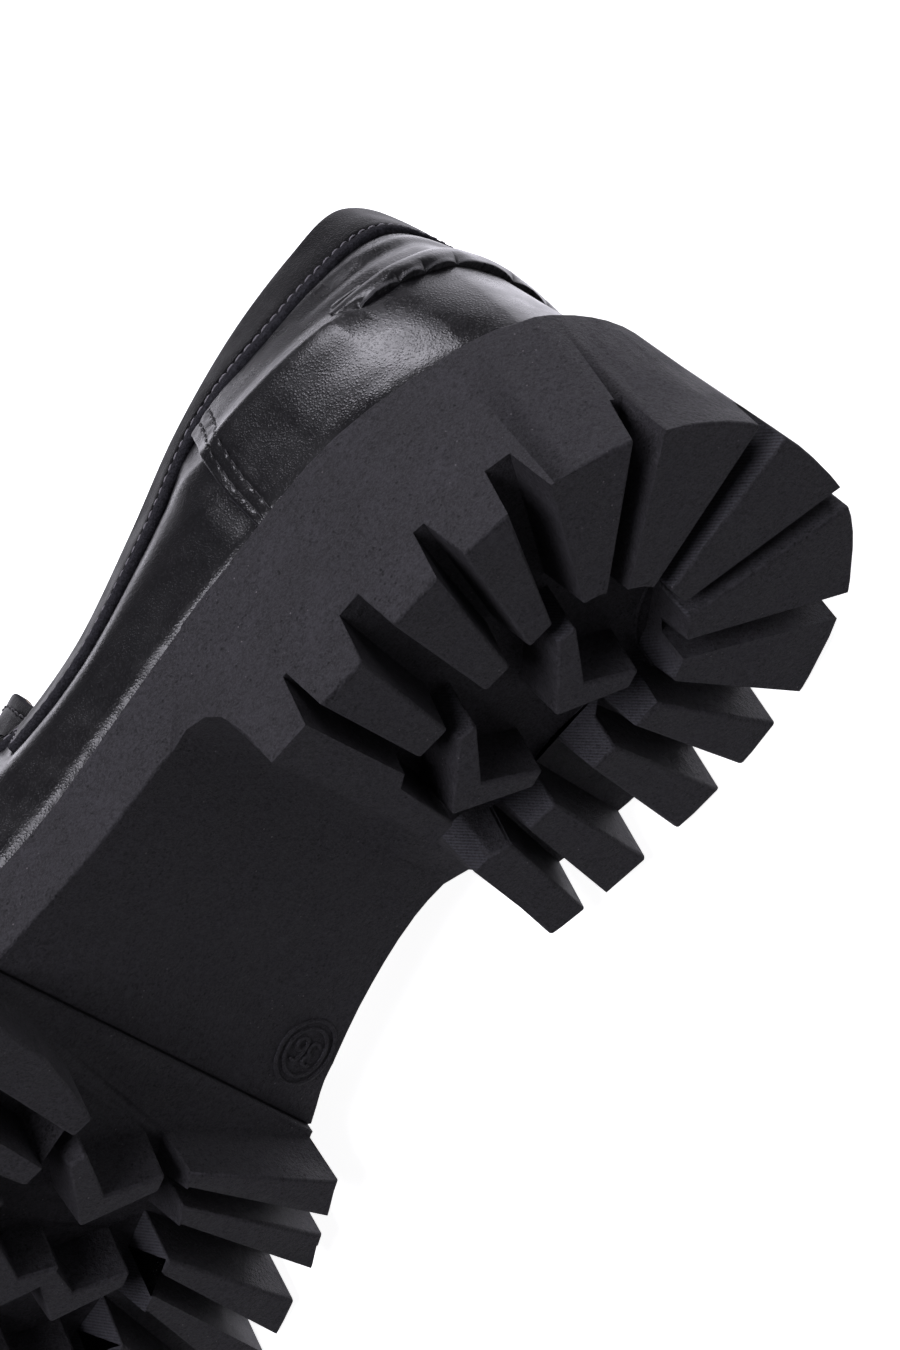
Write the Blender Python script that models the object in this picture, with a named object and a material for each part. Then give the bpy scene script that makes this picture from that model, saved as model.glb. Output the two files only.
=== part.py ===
"""A left loafer on a chunky moulded sole, lying on its inner side.

Every table and size is in millimetres, in the shoe's own axes: X runs from the back of the heel to the
toe, +Y is the shoe's outer (lateral) side and +Z goes up from the tread. The pieces are modelled upright
and then laid down together on the inner edge of the sole and the inner side of the upper.
"""

import math

import bmesh
import bpy
import numpy as np
from mathutils import Matrix, Vector

MM = 0.001
GAP = 0.3  # clearance between pieces that touch
MERGE = 0.001
CURVE_SAMPLES = 600
PLACE_SAMPLES = 1500

# Sole
BLANK_TOP = 30.0  # top of the uncut blank, before it is drawn down to the feather line
BEND_START = 18.0  # the blank keeps its own heights below this one
TREAD_DEPTH = 8.4
SLOT_DRAFT = 1.25  # how far each wall of a slot leans in from tread to floor
LUG_DRAFT = 0.6
CUT_BELOW = 1.0
OUTLINE_STEPS = 3
BACK_LEAN = 4.7  # how far the back of the heel leans in from tread to feather
BACK_LEAN_HALF_WIDTH = 27.0
FEATHER_HEIGHT = 28.3
INNER_FLARE = 2.6  # how far the inner sidewall leans in from tread to feather
FLARE_RUN = 22.0
SOLE_MIDDLE_X = 100.0
AXIS_X = (70.0, 160.0, 250.0)  # the middle line of the sole in plan
AXIS_Y = (0.0, -10.0, -16.0)
BREAST_BOW = 2.1
ARCH_HOLLOW = 0.8
STEP_X = 118.0  # where the arch meets the forefoot tread
SPRING_X = 182.0
TOE_X = 253.5
TOE_SPRING = 8.2
SPRING_POWER = 1.8
ARCH_COLUMNS = (-60.0, -33.0, -22.0, -11.0, 0.0, 11.0, 22.0, 33.0, 60.0)  # y of the arch's profiles
CROSS_EDGES = (20, 30, 42, 54, 66, 76, 86, 96, 108, 124, 146, 166, 184, 194, 204, 213, 221, 229, 237, 245)

# Outline of the tread, from the back of the heel round the outer side, the toe and the inner side
SOLE_OUTLINE = (
    # x, y
    (-0.7, 0.0),
    (0.5, 11.0),
    (4.4, 18.8),
    (11.8, 26.6),
    (23.0, 32.2),
    (40.0, 35.0),
    (56.0, 34.2),
    (72.0, 33.1),
    (88.0, 32.6),
    (105.0, 32.9),
    (122.0, 34.4),
    (142.0, 37.2),
    (164.0, 39.0),
    (186.0, 38.0),
    (206.0, 33.2),
    (224.0, 23.8),
    (239.0, 11.0),
    (249.0, -2.5),
    (TOE_X, -16.0),
    (250.5, -29.5),
    (241.0, -41.0),
    (227.0, -49.5),
    (209.0, -55.5),
    (189.0, -58.6),
    (168.0, -58.8),
    (150.0, -55.8),
    (136.5, -50.4),
    (126.4, -44.0),
    (118.2, -37.9),
    (107.0, -33.6),
    (96.0, -30.6),
    (85.0, -29.4),
    (77.0, -31.0),
    (70.0, -33.1),
    (58.0, -34.8),
    (40.0, -35.8),
    (23.0, -32.4),
    (11.8, -26.6),
    (4.4, -18.8),
    (0.5, -11.0),
)
TOE_POINT = 18  # row of SOLE_OUTLINE at the tip of the toe

# Height of the feather, where the upper meets the sole
FEATHER = (
    # x, z
    (-1.0, 28.3),
    (12.0, 28.3),
    (24.0, 29.0),
    (40.0, 30.3),
    (55.0, 29.9),
    (71.0, 28.2),
    (80.0, 26.7),
    (90.0, 24.6),
    (100.0, 22.4),
    (112.0, 20.7),
    (128.0, 19.7),
    (150.0, 19.3),
    (185.0, 19.6),
    (210.0, 21.0),
    (232.0, 24.0),
    (254.0, 27.8),
)

# Profile of the breast and the arch on the outer and the inner side of the sole, up and then forward
ARCH = (
    # outer x, outer z, inner x, inner z
    (71.8, -2.0, 71.8, -2.0),
    (72.5, 1.8, 72.0, 3.0),
    (73.3, 7.3, 72.3, 10.0),
    (74.2, 11.8, 73.4, 14.5),
    (76.0, 13.8, 75.4, 16.6),
    (79.0, 14.7, 79.0, 17.0),
    (84.0, 13.8, 86.0, 15.6),
    (96.0, 11.9, 97.0, 13.6),
    (107.0, 10.5, 108.0, 11.6),
    (STEP_X, 9.2, STEP_X, 9.2),
    (STEP_X, -2.0, STEP_X, -2.0),
)
ARCH_HALF_WIDTH = 33.0
BREAST_ROWS = 4  # rows of ARCH that follow the breast's bow

# Slots between the heel's rim lugs. Both sides share the middle lines; only their widths differ.
HEEL_SLOTS = (
    # outer x, outer y, inner x, inner y, lateral mouth, lateral end, medial mouth, medial end
    (64.2, 34.0, 62.6, 13.0, 3.2, 2.9, 3.7, 3.1),
    (52.1, 34.6, 52.6, 13.0, 6.0, 7.1, 5.9, 6.9),
    (39.0, 35.4, 43.0, 13.4, 4.3, 3.6, 4.6, 3.8),
    (26.5, 33.3, 34.8, 13.0, 6.3, 4.8, 5.6, 4.0),
    (11.0, 25.8, 28.4, 9.2, 4.4, 3.2, 4.2, 3.2),
    (0.2, 9.6, 24.4, 3.2, 5.2, 3.0, 4.2, 3.0),
)
HEEL_HOLLOW = (
    # x, y
    (66.0, -0.4),
    (66.0, 12.2),
    (64.2, 13.6),
    (36.0, 13.6),
    (30.4, 11.0),
    (26.0, 6.0),
    (24.2, 2.0),
    (24.2, -2.4),
    (26.4, -6.0),
    (30.6, -10.2),
    (36.0, -13.0),
    (63.5, -12.4),
    (67.0, -10.6),
    (76.0, -10.6),
    (76.0, -0.4),
)

# Inner edge of the forefoot's rim lugs, from the rear inner lug round the toe to the rear outer lug
FOREFOOT_HOLLOW = (
    # x, y
    (127.8, -13.5),
    (139.1, -22.6),
    (152.8, -29.6),
    (170.0, -33.6),
    (188.0, -34.6),
    (205.0, -32.6),
    (219.0, -27.0),
    (227.5, -17.5),
    (223.5, -7.0),
    (210.0, 1.5),
    (192.0, 7.0),
    (170.0, 9.8),
    (148.0, 9.8),
    (126.8, 9.1),
)
FOREFOOT_REAR = (
    # x, y of the back faces of the two rear lugs, and of the floor behind them
    (125.6, 11.8),
    (121.6, 24.3),
    (120.5, 34.3),
    (119.6, 46.0),
    (112.0, 46.0),
    (112.0, -46.0),
    (116.8, -46.0),
)
RIM_SLOTS = 26
RIM_START = (119.4, -38.4)  # outer corner of the rear inner lug
RIM_END = (120.5, 34.3)  # outer corner of the rear outer lug
NARROW_SLOT = 3.6
WIDE_SLOT = 6.1
SLOT_OVERRUN = 9.0  # how far a slot's cut runs past the sidewall
SLOT_UNDERRUN = 2.0  # and past the edge of the hollow

# L lugs in the hollows: the corner points to the toe
L_LUGS = (
    # corner x, corner y, turn in degrees, lateral arm, medial arm
    (46.4, 0.2, -8.0, 12.9, 10.9),
    (65.2, 1.0, -4.0, 13.2, 12.0),
    (142.0, -4.9, -10.0, 12.7, 11.6),
    (157.5, -15.1, -12.0, 8.6, 11.2),
    (158.6, -4.6, -12.0, 11.4, 8.6),
    (173.4, -22.2, -12.0, 8.6, 10.6),
    (174.6, -11.6, -12.0, 8.6, 8.6),
    (175.8, -1.0, -12.0, 10.6, 8.6),
    (190.0, -22.4, -13.0, 8.6, 10.0),
    (191.2, -11.8, -13.0, 8.6, 8.6),
    (192.4, -1.2, -13.0, 8.0, 8.6),
    (206.2, -19.6, -16.0, 8.6, 9.6),
    (207.6, -9.0, -16.0, 8.6, 8.6),
    (218.6, -16.4, -18.0, 7.0, 7.6),
)
L_WIDTH = 4.1
L_SPREAD = 44.0  # degrees between each arm and the line that halves the L
L_END_SLANT = 1.2  # how far an arm's end slants back on the inside of the L
L_END_SHARE = 0.9

# Ribs of the last: where each leaves the outline of the sole, and the cubic that it follows to the rim
RIBS = (
    # outline x, side, rim x, rim y, rim z, rise, lean out, reach, slope, cut
    (-0.7, 1, 17.3, 0.0, 77.5, 16.0, -4.8, 16.0, 72.0, 1.0),
    (4.4, 1, 19.0, 13.2, 77.3, 16.0, -4.1, 16.0, 72.0, 1.0),
    (12.0, 1, 22.8, 20.9, 75.6, 16.0, -1.2, 16.0, 70.0, 1.0),
    (24.0, 1, 30.5, 24.4, 71.9, 16.0, 3.0, 16.0, 68.0, 1.0),
    (40.0, 1, 44.0, 25.4, 68.2, 15.0, 4.0, 15.0, 66.0, 1.0),
    (56.0, 1, 58.5, 25.1, 63.0, 14.0, 4.0, 14.0, 66.0, 1.0),
    (72.0, 1, 72.0, 24.4, 56.2, 12.0, 5.0, 12.0, 66.0, 1.0),
    (88.0, 1, 86.0, 23.4, 50.2, 11.0, 6.0, 11.0, 64.0, 1.0),
    (104.0, 1, 97.0, 21.6, 49.4, 12.0, 7.0, 12.0, 60.0, 0.98),
    (122.0, 1, 99.6, 19.0, 54.0, 14.0, 8.0, 16.0, 56.0, 0.86),
    (146.0, 1, 102.4, 15.0, 63.4, 16.0, 9.0, 24.0, 50.0, 0.84),
    (180.0, 1, 102.4, 9.0, 72.6, 20.0, 9.5, 38.0, 42.0, 0.86),
    (222.0, 1, 100.4, 2.8, 78.6, 27.0, 10.0, 56.0, 34.0, 0.89),
    (TOE_X, -1, 99.4, -4.0, 80.6, 32.0, 9.0, 70.0, 29.5, 0.90),
    (224.0, -1, 100.4, -10.8, 78.8, 28.0, 9.0, 58.0, 34.0, 0.89),
    (184.0, -1, 102.4, -17.0, 73.0, 19.0, 9.8, 39.0, 43.0, 0.86),
    (150.0, -1, 102.4, -21.6, 64.2, 15.0, 10.5, 25.0, 54.0, 0.84),
    (124.0, -1, 99.6, -24.2, 55.4, 14.0, 8.0, 16.0, 62.0, 0.86),
    (107.0, -1, 97.0, -24.8, 51.4, 12.0, 6.5, 13.0, 66.0, 0.98),
    (90.0, -1, 86.0, -24.6, 52.4, 12.0, 4.0, 12.0, 70.0, 1.0),
    (72.0, -1, 72.0, -24.8, 58.0, 13.0, 4.0, 13.0, 68.0, 1.0),
    (56.0, -1, 58.5, -25.2, 64.2, 14.0, 4.0, 14.0, 67.0, 1.0),
    (40.0, -1, 44.0, -25.4, 69.0, 15.0, 2.0, 15.0, 66.0, 1.0),
    (24.0, -1, 30.5, -24.0, 72.2, 16.0, 0.5, 16.0, 68.0, 1.0),
    (12.0, -1, 22.8, -20.5, 75.6, 16.0, -2.2, 16.0, 70.0, 1.0),
    (4.4, -1, 19.0, -13.2, 77.3, 16.0, -4.1, 16.0, 72.0, 1.0),
)
FEATHER_INSET = 1.4  # how far the upper stands in from the edge of the sole
BACK_INSET = 1.8  # and what the back of the heel adds to that
BACK_INSET_RUN = 20.0
WALL = 2.0
RIB_COUNT = 92
RIB_STEPS = 16
FINE_STEPS = 2000
TURN_WEIGHT = 22.0  # millimetres of outline that one radian of turn counts for
RIB_SAMPLES = 240
SHARP_ANGLE = 50.0  # degrees

# Insole
INSOLE_THICK = 3.0
INSOLE_LEVEL = 0.05  # share of the way up the ribs at its top

# Tongue
TONGUE_THICK = 2.0
TONGUE_START = (104.0, 1)  # outline x and side of its two edges
TONGUE_END = (107.0, -1)
TONGUE_ROOT = 0.76  # where on the ribs it starts, under the vamp
TONGUE_COUNT = 26
TONGUE_STEPS = 6
TONGUE_DIP = 0.05  # how much lower on the ribs its middle ends than its sides
TONGUE_DIP_FROM = 0.06  # share of its width where it starts to fall
TONGUE_DIP_TO = 0.3

# Saddle strap
STRAP_THICK = 1.8
STRAP_BACK_X = 114.0  # where its back edge crosses the feather
STRAP_WIDTH = 24.0
STRAP_RAKE = 0.06  # how far it leans back for each millimetre of height
STRAP_COUNT = 44
STRAP_STEPS = 6
STRAP_LOW = 0.02

# Heel kicker
KICKER_HALF = 5.2 / 2
KICKER_PROUD = 1.8
KICKER_EDGE = 0.5
KICKER_START = (31.0, 1)
KICKER_END = (27.0, -1)
KICKER_COUNT = 30
KICKER_STEPS = 6
KICKER_HEIGHT = 0.52  # share of the way up the ribs at the back
KICKER_DROP = 0.09  # and how much lower its ends sit
KICKER_END_SHARE = 0.25  # its least width and height, as a share of the middle's

# Lying pose, in degrees: the tread's inner edge at heel and ball and the strap's inner side touch the floor
LYING_YAW = 10.264
LYING_ROLL = 2.979

MATERIALS = {
    # name: colour, roughness
    "rubber_black": ((0.022, 0.023, 0.026, 1.0), 0.62),
    "leather_black": ((0.012, 0.012, 0.013, 1.0), 0.38),
    "leather_dark": ((0.018, 0.017, 0.016, 1.0), 0.48),
    "lining": ((0.10, 0.085, 0.065, 1.0), 0.7),
}


def clear_scene():
    """Empty the file of objects."""
    for thing in list(bpy.data.objects):
        bpy.data.objects.remove(thing, do_unlink=True)


def material(name):
    """The named Principled material."""
    found = bpy.data.materials.get(name)
    if found:
        return found
    colour, roughness = MATERIALS[name]
    made = bpy.data.materials.new(name)
    made.use_nodes = True
    shader = made.node_tree.nodes["Principled BSDF"]
    shader.inputs["Base Color"].default_value = colour
    shader.inputs["Roughness"].default_value = roughness
    made.diffuse_color = colour
    return made


def closed_curve(knots, values, at):
    """Points of the smooth closed curve through values: a cubic between each two knots in 0..1, whose slope
    at a knot is that of the chord between its two neighbours."""
    knots = np.asarray(knots, float)
    values = np.asarray(values, float)
    before = np.roll(knots, 1)
    before[0] -= 1.0
    after = np.roll(knots, -1)
    after[-1] += 1.0
    slopes = (np.roll(values, -1, 0) - np.roll(values, 1, 0)) / (after - before)[:, None]
    at = np.mod(np.atleast_1d(at), 1.0)
    left = np.searchsorted(knots, at, side="right") - 1
    right = (left + 1) % len(knots)
    width = (after - knots)[left][:, None]
    u = (at - knots[left])[:, None] / width
    return (
        (2 * u**3 - 3 * u**2 + 1) * values[left]
        + (u**3 - 2 * u**2 + u) * width * slopes[left]
        + (3 * u**2 - 2 * u**3) * values[right]
        + (u**3 - u**2) * width * slopes[right]
    )


def chord_knots(points):
    """Knots in 0..1 for a closed run of points, in step with its chords."""
    steps = np.linalg.norm(np.roll(points, -1, 0) - points, axis=1)
    return np.concatenate([[0.0], np.cumsum(steps)[:-1]]) / steps.sum()


OUTLINE_POINTS = np.array(SOLE_OUTLINE)
OUTLINE_KNOTS = chord_knots(OUTLINE_POINTS)


def outline(at):
    """Plan points of the tread's outline at parameters in 0..1 from the back of the heel."""
    return closed_curve(OUTLINE_KNOTS, OUTLINE_POINTS, at)


def outward(at):
    """Plan unit normals of the outline, pointing out of the sole."""
    step = 1e-4
    along = outline(at + step) - outline(at - step)
    normal = np.stack([-along[:, 1], along[:, 0]], axis=1)
    return normal / np.linalg.norm(normal, axis=1)[:, None]


def outline_place(x, side):
    """Parameter of the outline where it passes x on the outer (+1) or inner (-1) side."""
    toe = OUTLINE_KNOTS[TOE_POINT]
    at = np.linspace(0.0 if side > 0 else 1.0, toe, PLACE_SAMPLES)
    reached = outline(at)[:, 0]
    return float(np.interp(x, reached[1:-1], at[1:-1])) % 1.0 if x > reached[0] + 0.01 else 0.0


def heights(x):
    """Height of the feather line over the tread's plane."""
    table = np.array(FEATHER)
    fine = np.linspace(0, len(table) - 1, CURVE_SAMPLES)
    rows = np.arange(len(table))
    slope = np.gradient(table[:, 1], rows)
    low = np.clip(fine.astype(int), 0, len(table) - 2)
    u = fine - low
    smooth = (
        (2 * u**3 - 3 * u**2 + 1) * table[low, 1]
        + (u**3 - 2 * u**2 + u) * slope[low]
        + (3 * u**2 - 2 * u**3) * table[low + 1, 1]
        + (u**3 - u**2) * slope[low + 1]
    )
    return np.interp(x, np.interp(fine, rows, table[:, 0]), smooth)


def spring(x):
    """How far the toe spring lifts the sole."""
    share = np.clip((np.asarray(x, float) - SPRING_X) / (TOE_X - SPRING_X), 0.0, 1.1)
    return TOE_SPRING * share**SPRING_POWER


def sidewall(at, z):
    """Plan points of the sole's sidewall at a height: it leans in at the back of the heel, and on the inner
    side it narrows from the tread to the feather."""
    plan = outline(at)
    rise = z / FEATHER_HEIGHT
    across = np.clip(np.abs(plan[:, 1]) / BACK_LEAN_HALF_WIDTH, 0.0, 1.0)
    back = np.where(plan[:, 0] < SOLE_MIDDLE_X, BACK_LEAN * np.cos(across * math.pi / 2), 0.0)
    axis = np.interp(plan[:, 0], AXIS_X, AXIS_Y)
    inner = np.clip((axis - plan[:, 1]) / FLARE_RUN, 0.0, 1.0)
    leaned = plan - outward(at) * (INNER_FLARE * rise * inner**2 * (3 - 2 * inner))[:, None]
    leaned[:, 0] += back * rise
    return leaned


def new_object(name, mesh, slot):
    """An object with its material."""
    mesh.materials.append(material(slot))
    made = bpy.data.objects.new(name, mesh)
    bpy.context.scene.collection.objects.link(made)
    return made


def mesh_of(name, vertices, faces):
    """A mesh from points in millimetres."""
    mesh = bpy.data.meshes.new(name)
    mesh.from_pydata([tuple(v) for v in np.asarray(vertices, float)], [], [tuple(map(int, f)) for f in faces])
    mesh.update()
    return mesh


def frustum(low, low_z, high, high_z):
    """Vertices and faces of a prism between two outlines with the same number of corners, run clockwise."""
    count = len(low)
    vertices = np.concatenate(
        [np.column_stack([low, np.full(count, low_z)]), np.column_stack([high, np.full(count, high_z)])]
    )
    area = np.sum(low[:, 0] * np.roll(low[:, 1], -1) - np.roll(low[:, 0], -1) * low[:, 1])
    order = list(range(count)) if area < 0 else list(range(count))[::-1]
    faces = [order, [i + count for i in order[::-1]]]
    for here, then in zip(order, order[1:] + order[:1]):
        faces.append([then, here, here + count, then + count])
    return vertices, faces


def shrunk(polygon, distance):
    """A plan polygon with each edge moved in by distance."""
    polygon = np.asarray(polygon, float)
    area = np.sum(polygon[:, 0] * np.roll(polygon[:, 1], -1) - np.roll(polygon[:, 0], -1) * polygon[:, 1])
    edge = np.roll(polygon, -1, 0) - polygon
    edge /= np.linalg.norm(edge, axis=1)[:, None]
    inward = np.stack([-edge[:, 1], edge[:, 0]], axis=1) * math.copysign(1.0, area)
    before = np.roll(inward, 1, 0)
    corner = (inward + before) / (1.0 + np.sum(inward * before, axis=1))[:, None]
    return polygon + corner * distance


def cut_shape(polygon, draft):
    """A cutter from under the tread up to the floor of the pattern, narrowing by draft on the way."""
    slope = draft / TREAD_DEPTH
    return frustum(
        shrunk(polygon, -slope * CUT_BELOW), -CUT_BELOW, shrunk(polygon, draft), TREAD_DEPTH
    )


def slot_shape(outer, inner, mouth, end):
    """A slot's cutter between the sidewall and the hollow."""
    outer = np.array(outer, float)
    inner = np.array(inner, float)
    along = outer - inner
    length = np.linalg.norm(along)
    along /= length
    across = np.array([-along[1], along[0]]) / 2
    flare = (mouth - end) / length
    far = mouth + flare * SLOT_OVERRUN
    near = end - flare * SLOT_UNDERRUN
    tip = outer + along * SLOT_OVERRUN
    root = inner - along * SLOT_UNDERRUN
    return cut_shape(
        [tip + across * far, tip - across * far, root - across * near, root + across * near], SLOT_DRAFT
    )


def heel_cutters():
    """The hollow in the heel's tread and the slots round its rim."""
    yield cut_shape(HEEL_HOLLOW, LUG_DRAFT)
    for x1, y1, x0, y0, outer_mouth, outer_end, inner_mouth, inner_end in HEEL_SLOTS:
        yield slot_shape((x1, y1), (x0, y0), outer_mouth, outer_end)
        yield slot_shape((x1, -y1), (x0, -y0), inner_mouth, inner_end)


def polyline_at(points, distances):
    """Points at distances along an open run of points."""
    steps = np.linalg.norm(np.diff(points, axis=0), axis=1)
    reached = np.concatenate([[0.0], np.cumsum(steps)])
    return np.column_stack([np.interp(distances, reached, points[:, k]) for k in range(2)]), reached[-1]


def forefoot_cutters():
    """The hollow in the forefoot's tread and the slots round its rim, narrow and wide by turns."""
    yield cut_shape(FOREFOOT_HOLLOW + FOREFOOT_REAR, LUG_DRAFT)
    start = outline_place(RIM_START[0], -1)
    stop = outline_place(RIM_END[0], 1)
    rim = outline(np.linspace(start, stop, CURVE_SAMPLES))
    edge = closed_curve(*hollow_knots(), np.linspace(0.0, hollow_end(), CURVE_SAMPLES))
    _, rim_length = polyline_at(rim, [0.0])
    _, edge_length = polyline_at(edge, [0.0])
    widths = np.array([NARROW_SLOT if k % 2 == 0 else WIDE_SLOT for k in range(RIM_SLOTS)])
    rim_lug = (rim_length - widths.sum()) / (RIM_SLOTS + 1)
    edge_lug = (edge_length - widths.sum()) / (RIM_SLOTS + 1)
    before = np.cumsum(widths) - widths / 2
    numbers = np.arange(1, RIM_SLOTS + 1)
    outer, _ = polyline_at(rim, before + rim_lug * numbers)
    inner, _ = polyline_at(edge, before + edge_lug * numbers)
    for out, into, width in zip(outer, inner, widths):
        yield slot_shape(out, into, width, width)


def hollow_knots():
    """Knots and corners of the forefoot hollow's edge."""
    corners = np.array(FOREFOOT_HOLLOW)
    return chord_knots(corners), corners


def hollow_end():
    """Parameter of the hollow's last corner."""
    return float(hollow_knots()[0][-1])


def l_lug(x, y, turn, outer_arm, inner_arm):
    """An L with its corner towards the toe, standing in a hollow."""
    spread = math.radians(L_SPREAD)
    turn = math.radians(turn)
    outer_way = np.array([math.cos(math.pi - spread + turn), math.sin(math.pi - spread + turn)])
    inner_way = np.array([math.cos(math.pi + spread + turn), math.sin(math.pi + spread + turn)])
    corner = np.array([x, y])
    across = (outer_way + inner_way) / np.linalg.norm(outer_way + inner_way)
    elbow = corner + across * L_WIDTH / math.sin(spread)
    square = across * L_WIDTH * L_END_SHARE
    polygon = [
        corner,
        corner + outer_way * outer_arm,
        corner + outer_way * (outer_arm - L_END_SLANT) + square,
        elbow,
        corner + inner_way * (inner_arm - L_END_SLANT) + square,
        corner + inner_way * inner_arm,
    ]
    return frustum(np.array(polygon), 0.0, shrunk(polygon, -LUG_DRAFT), TREAD_DEPTH + CUT_BELOW)


def arch_cutter():
    """The space under the breast and the arch, lofted across the sole from one side's profile to the other's."""
    rows = np.array(ARCH)
    columns = np.array(ARCH_COLUMNS)
    vertices = []
    for y in columns:
        share = np.clip((y + ARCH_HALF_WIDTH) / (2 * ARCH_HALF_WIDTH), 0.0, 1.0)
        middle = max(0.0, 1.0 - (y / ARCH_HALF_WIDTH) ** 2)
        line = rows[:, :2] * share + rows[:, 2:] * (1.0 - share)
        line[: BREAST_ROWS + 1, 0] -= BREAST_BOW * middle
        line[BREAST_ROWS:-2, 1] += ARCH_HOLLOW * middle
        vertices.append(np.column_stack([line[:, 0], np.full(len(line), y), line[:, 1]]))
    count = len(rows)
    faces = [list(range(count))[::-1], [i + count * (len(columns) - 1) for i in range(count)]]
    for column in range(len(columns) - 1):
        for row in range(count):
            here = column * count + row
            then = column * count + (row + 1) % count
            faces.append([here, then, then + count, here + count])
    return np.concatenate(vertices), faces


def solid_object(name, shape):
    """A hidden modelling solid."""
    made = bpy.data.objects.new(name, mesh_of(name, *shape))
    made.hide_render = True
    made.display_type = "WIRE"
    bpy.context.scene.collection.objects.link(made)
    work = bmesh.new()
    work.from_mesh(made.data)
    bmesh.ops.recalc_face_normals(work, faces=work.faces)
    work.to_mesh(made.data)
    work.free()
    return made


def combined(body, shapes, operation):
    """The body's mesh after a Boolean with every shape, which are then removed."""
    tools = bpy.data.collections.new("tools")
    pieces = [solid_object("tool", shape) for shape in shapes]
    for piece in pieces:
        tools.objects.link(piece)
    cut = body.modifiers.new("cut", "BOOLEAN")
    cut.operation = operation
    cut.operand_type = "COLLECTION"
    cut.collection = tools
    cut.solver = "EXACT"
    cut.use_self = False
    graph = bpy.context.evaluated_depsgraph_get()
    result = bpy.data.meshes.new_from_object(body.evaluated_get(graph))
    body.modifiers.remove(cut)
    body.data = result
    for piece in pieces:
        bpy.data.objects.remove(piece, do_unlink=True)
    bpy.data.collections.remove(tools)


def cross_edged(mesh, places, change):
    """Cut edges across a mesh at some x, then move its points by a function of their coordinates."""
    work = bmesh.new()
    work.from_mesh(mesh)
    bmesh.ops.remove_doubles(work, verts=work.verts, dist=MERGE)
    for x in places:
        everything = list(work.verts) + list(work.edges) + list(work.faces)
        bmesh.ops.bisect_plane(work, geom=everything, dist=0.01, plane_co=(x, 0, 0), plane_no=(1, 0, 0))
    bmesh.ops.triangulate(work, faces=work.faces)
    points = np.array([v.co for v in work.verts])
    for vertex, place in zip(work.verts, change(points)):
        vertex.co = place
    work.to_mesh(mesh)
    work.free()


def lifted(points):
    """Sole points drawn down to the feather line and lifted by the toe spring."""
    rise = spring(points[:, 0])
    top = heights(points[:, 0]) - rise
    share = np.clip((points[:, 2] - BEND_START) / (BLANK_TOP - BEND_START), 0.0, 1.0)
    moved = points.copy()
    moved[:, 2] = np.where(share > 0, BEND_START + share * (top - BEND_START), points[:, 2]) + rise
    return moved


def build_outsole():
    """The moulded unit: a blank cut by the arch and the pattern, with L lugs standing in its hollows."""
    at = np.arange(len(SOLE_OUTLINE) * OUTLINE_STEPS) / OUTLINE_STEPS
    at = np.interp(at, np.arange(len(SOLE_OUTLINE) + 1), np.append(OUTLINE_KNOTS, 1.0))
    blank = solid_object("blank", frustum(outline(at), 0.0, sidewall(at, BLANK_TOP), BLANK_TOP))
    combined(blank, [arch_cutter(), *heel_cutters(), *forefoot_cutters()], "DIFFERENCE")
    combined(blank, [l_lug(*row) for row in L_LUGS], "UNION")
    mesh = blank.data
    bpy.data.objects.remove(blank, do_unlink=True)
    cross_edged(mesh, CROSS_EDGES, lifted)
    mesh.materials.clear()
    return new_object("outsole", mesh, "rubber_black")


RIB_PLACES = np.array([outline_place(row[0], row[1]) for row in RIBS])
RIB_VALUES = np.array([row[2:] for row in RIBS])


def foot(at):
    """Points where the upper stands on the sole."""
    plan = sidewall(at, FEATHER_HEIGHT)
    inset = FEATHER_INSET + BACK_INSET * np.clip(1.0 - plan[:, 0] / BACK_INSET_RUN, 0.0, 1.0)
    plan = plan - outward(at) * inset[:, None]
    return np.column_stack([plan, heights(plan[:, 0]) + GAP])


def ribs(at):
    """The four control points of the rib at each parameter, and where the upper's edge cuts it."""
    values = closed_curve(RIB_PLACES, RIB_VALUES, at)
    rim = values[:, :3]
    rise, lean, reach, slope, cut = values[:, 3:].T
    start = foot(at)
    first = start + np.column_stack([outward(at) * lean[:, None], rise])
    inward = rim[:, :2] - start[:, :2]
    inward /= np.linalg.norm(inward, axis=1)[:, None]
    slope = np.radians(slope)
    second = rim - np.column_stack([inward * (reach * np.cos(slope))[:, None], reach * np.sin(slope)])
    return start, first, second, rim, cut


def on_last(at, up):
    """Points of the upper's outer face: at goes round the sole, up goes along the ribs, both 2D arrays."""
    flat = at.ravel()
    u = up.ravel()[:, None]
    start, first, second, rim, _ = ribs(flat)
    points = (1 - u) ** 3 * start + 3 * u * (1 - u) ** 2 * first + 3 * u**2 * (1 - u) * second + u**3 * rim
    return points.reshape(*at.shape, 3)


def off_last(at, up, distance):
    """Points at a distance outside the upper's outer face."""
    step = 1e-4
    round_way = on_last(at + step, up) - on_last(at - step, up)
    up_way = on_last(at, up + step) - on_last(at, up - step)
    normal = np.cross(up_way, round_way)
    normal /= np.linalg.norm(normal, axis=-1)[..., None]
    return on_last(at, up) + normal * np.asarray(distance)[..., None]


def grid_faces(rows, columns, base, flip, closed):
    """Quads of a grid whose rows go round the shoe."""
    row, column = np.meshgrid(np.arange(rows if closed else rows - 1), np.arange(columns - 1), indexing="ij")
    after = (row + 1) % rows
    a = row * columns + column
    b = after * columns + column
    quads = np.stack([a, a + 1, b + 1, b], axis=-1).reshape(-1, 4) + base
    return quads[:, ::-1] if flip else quads


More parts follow.
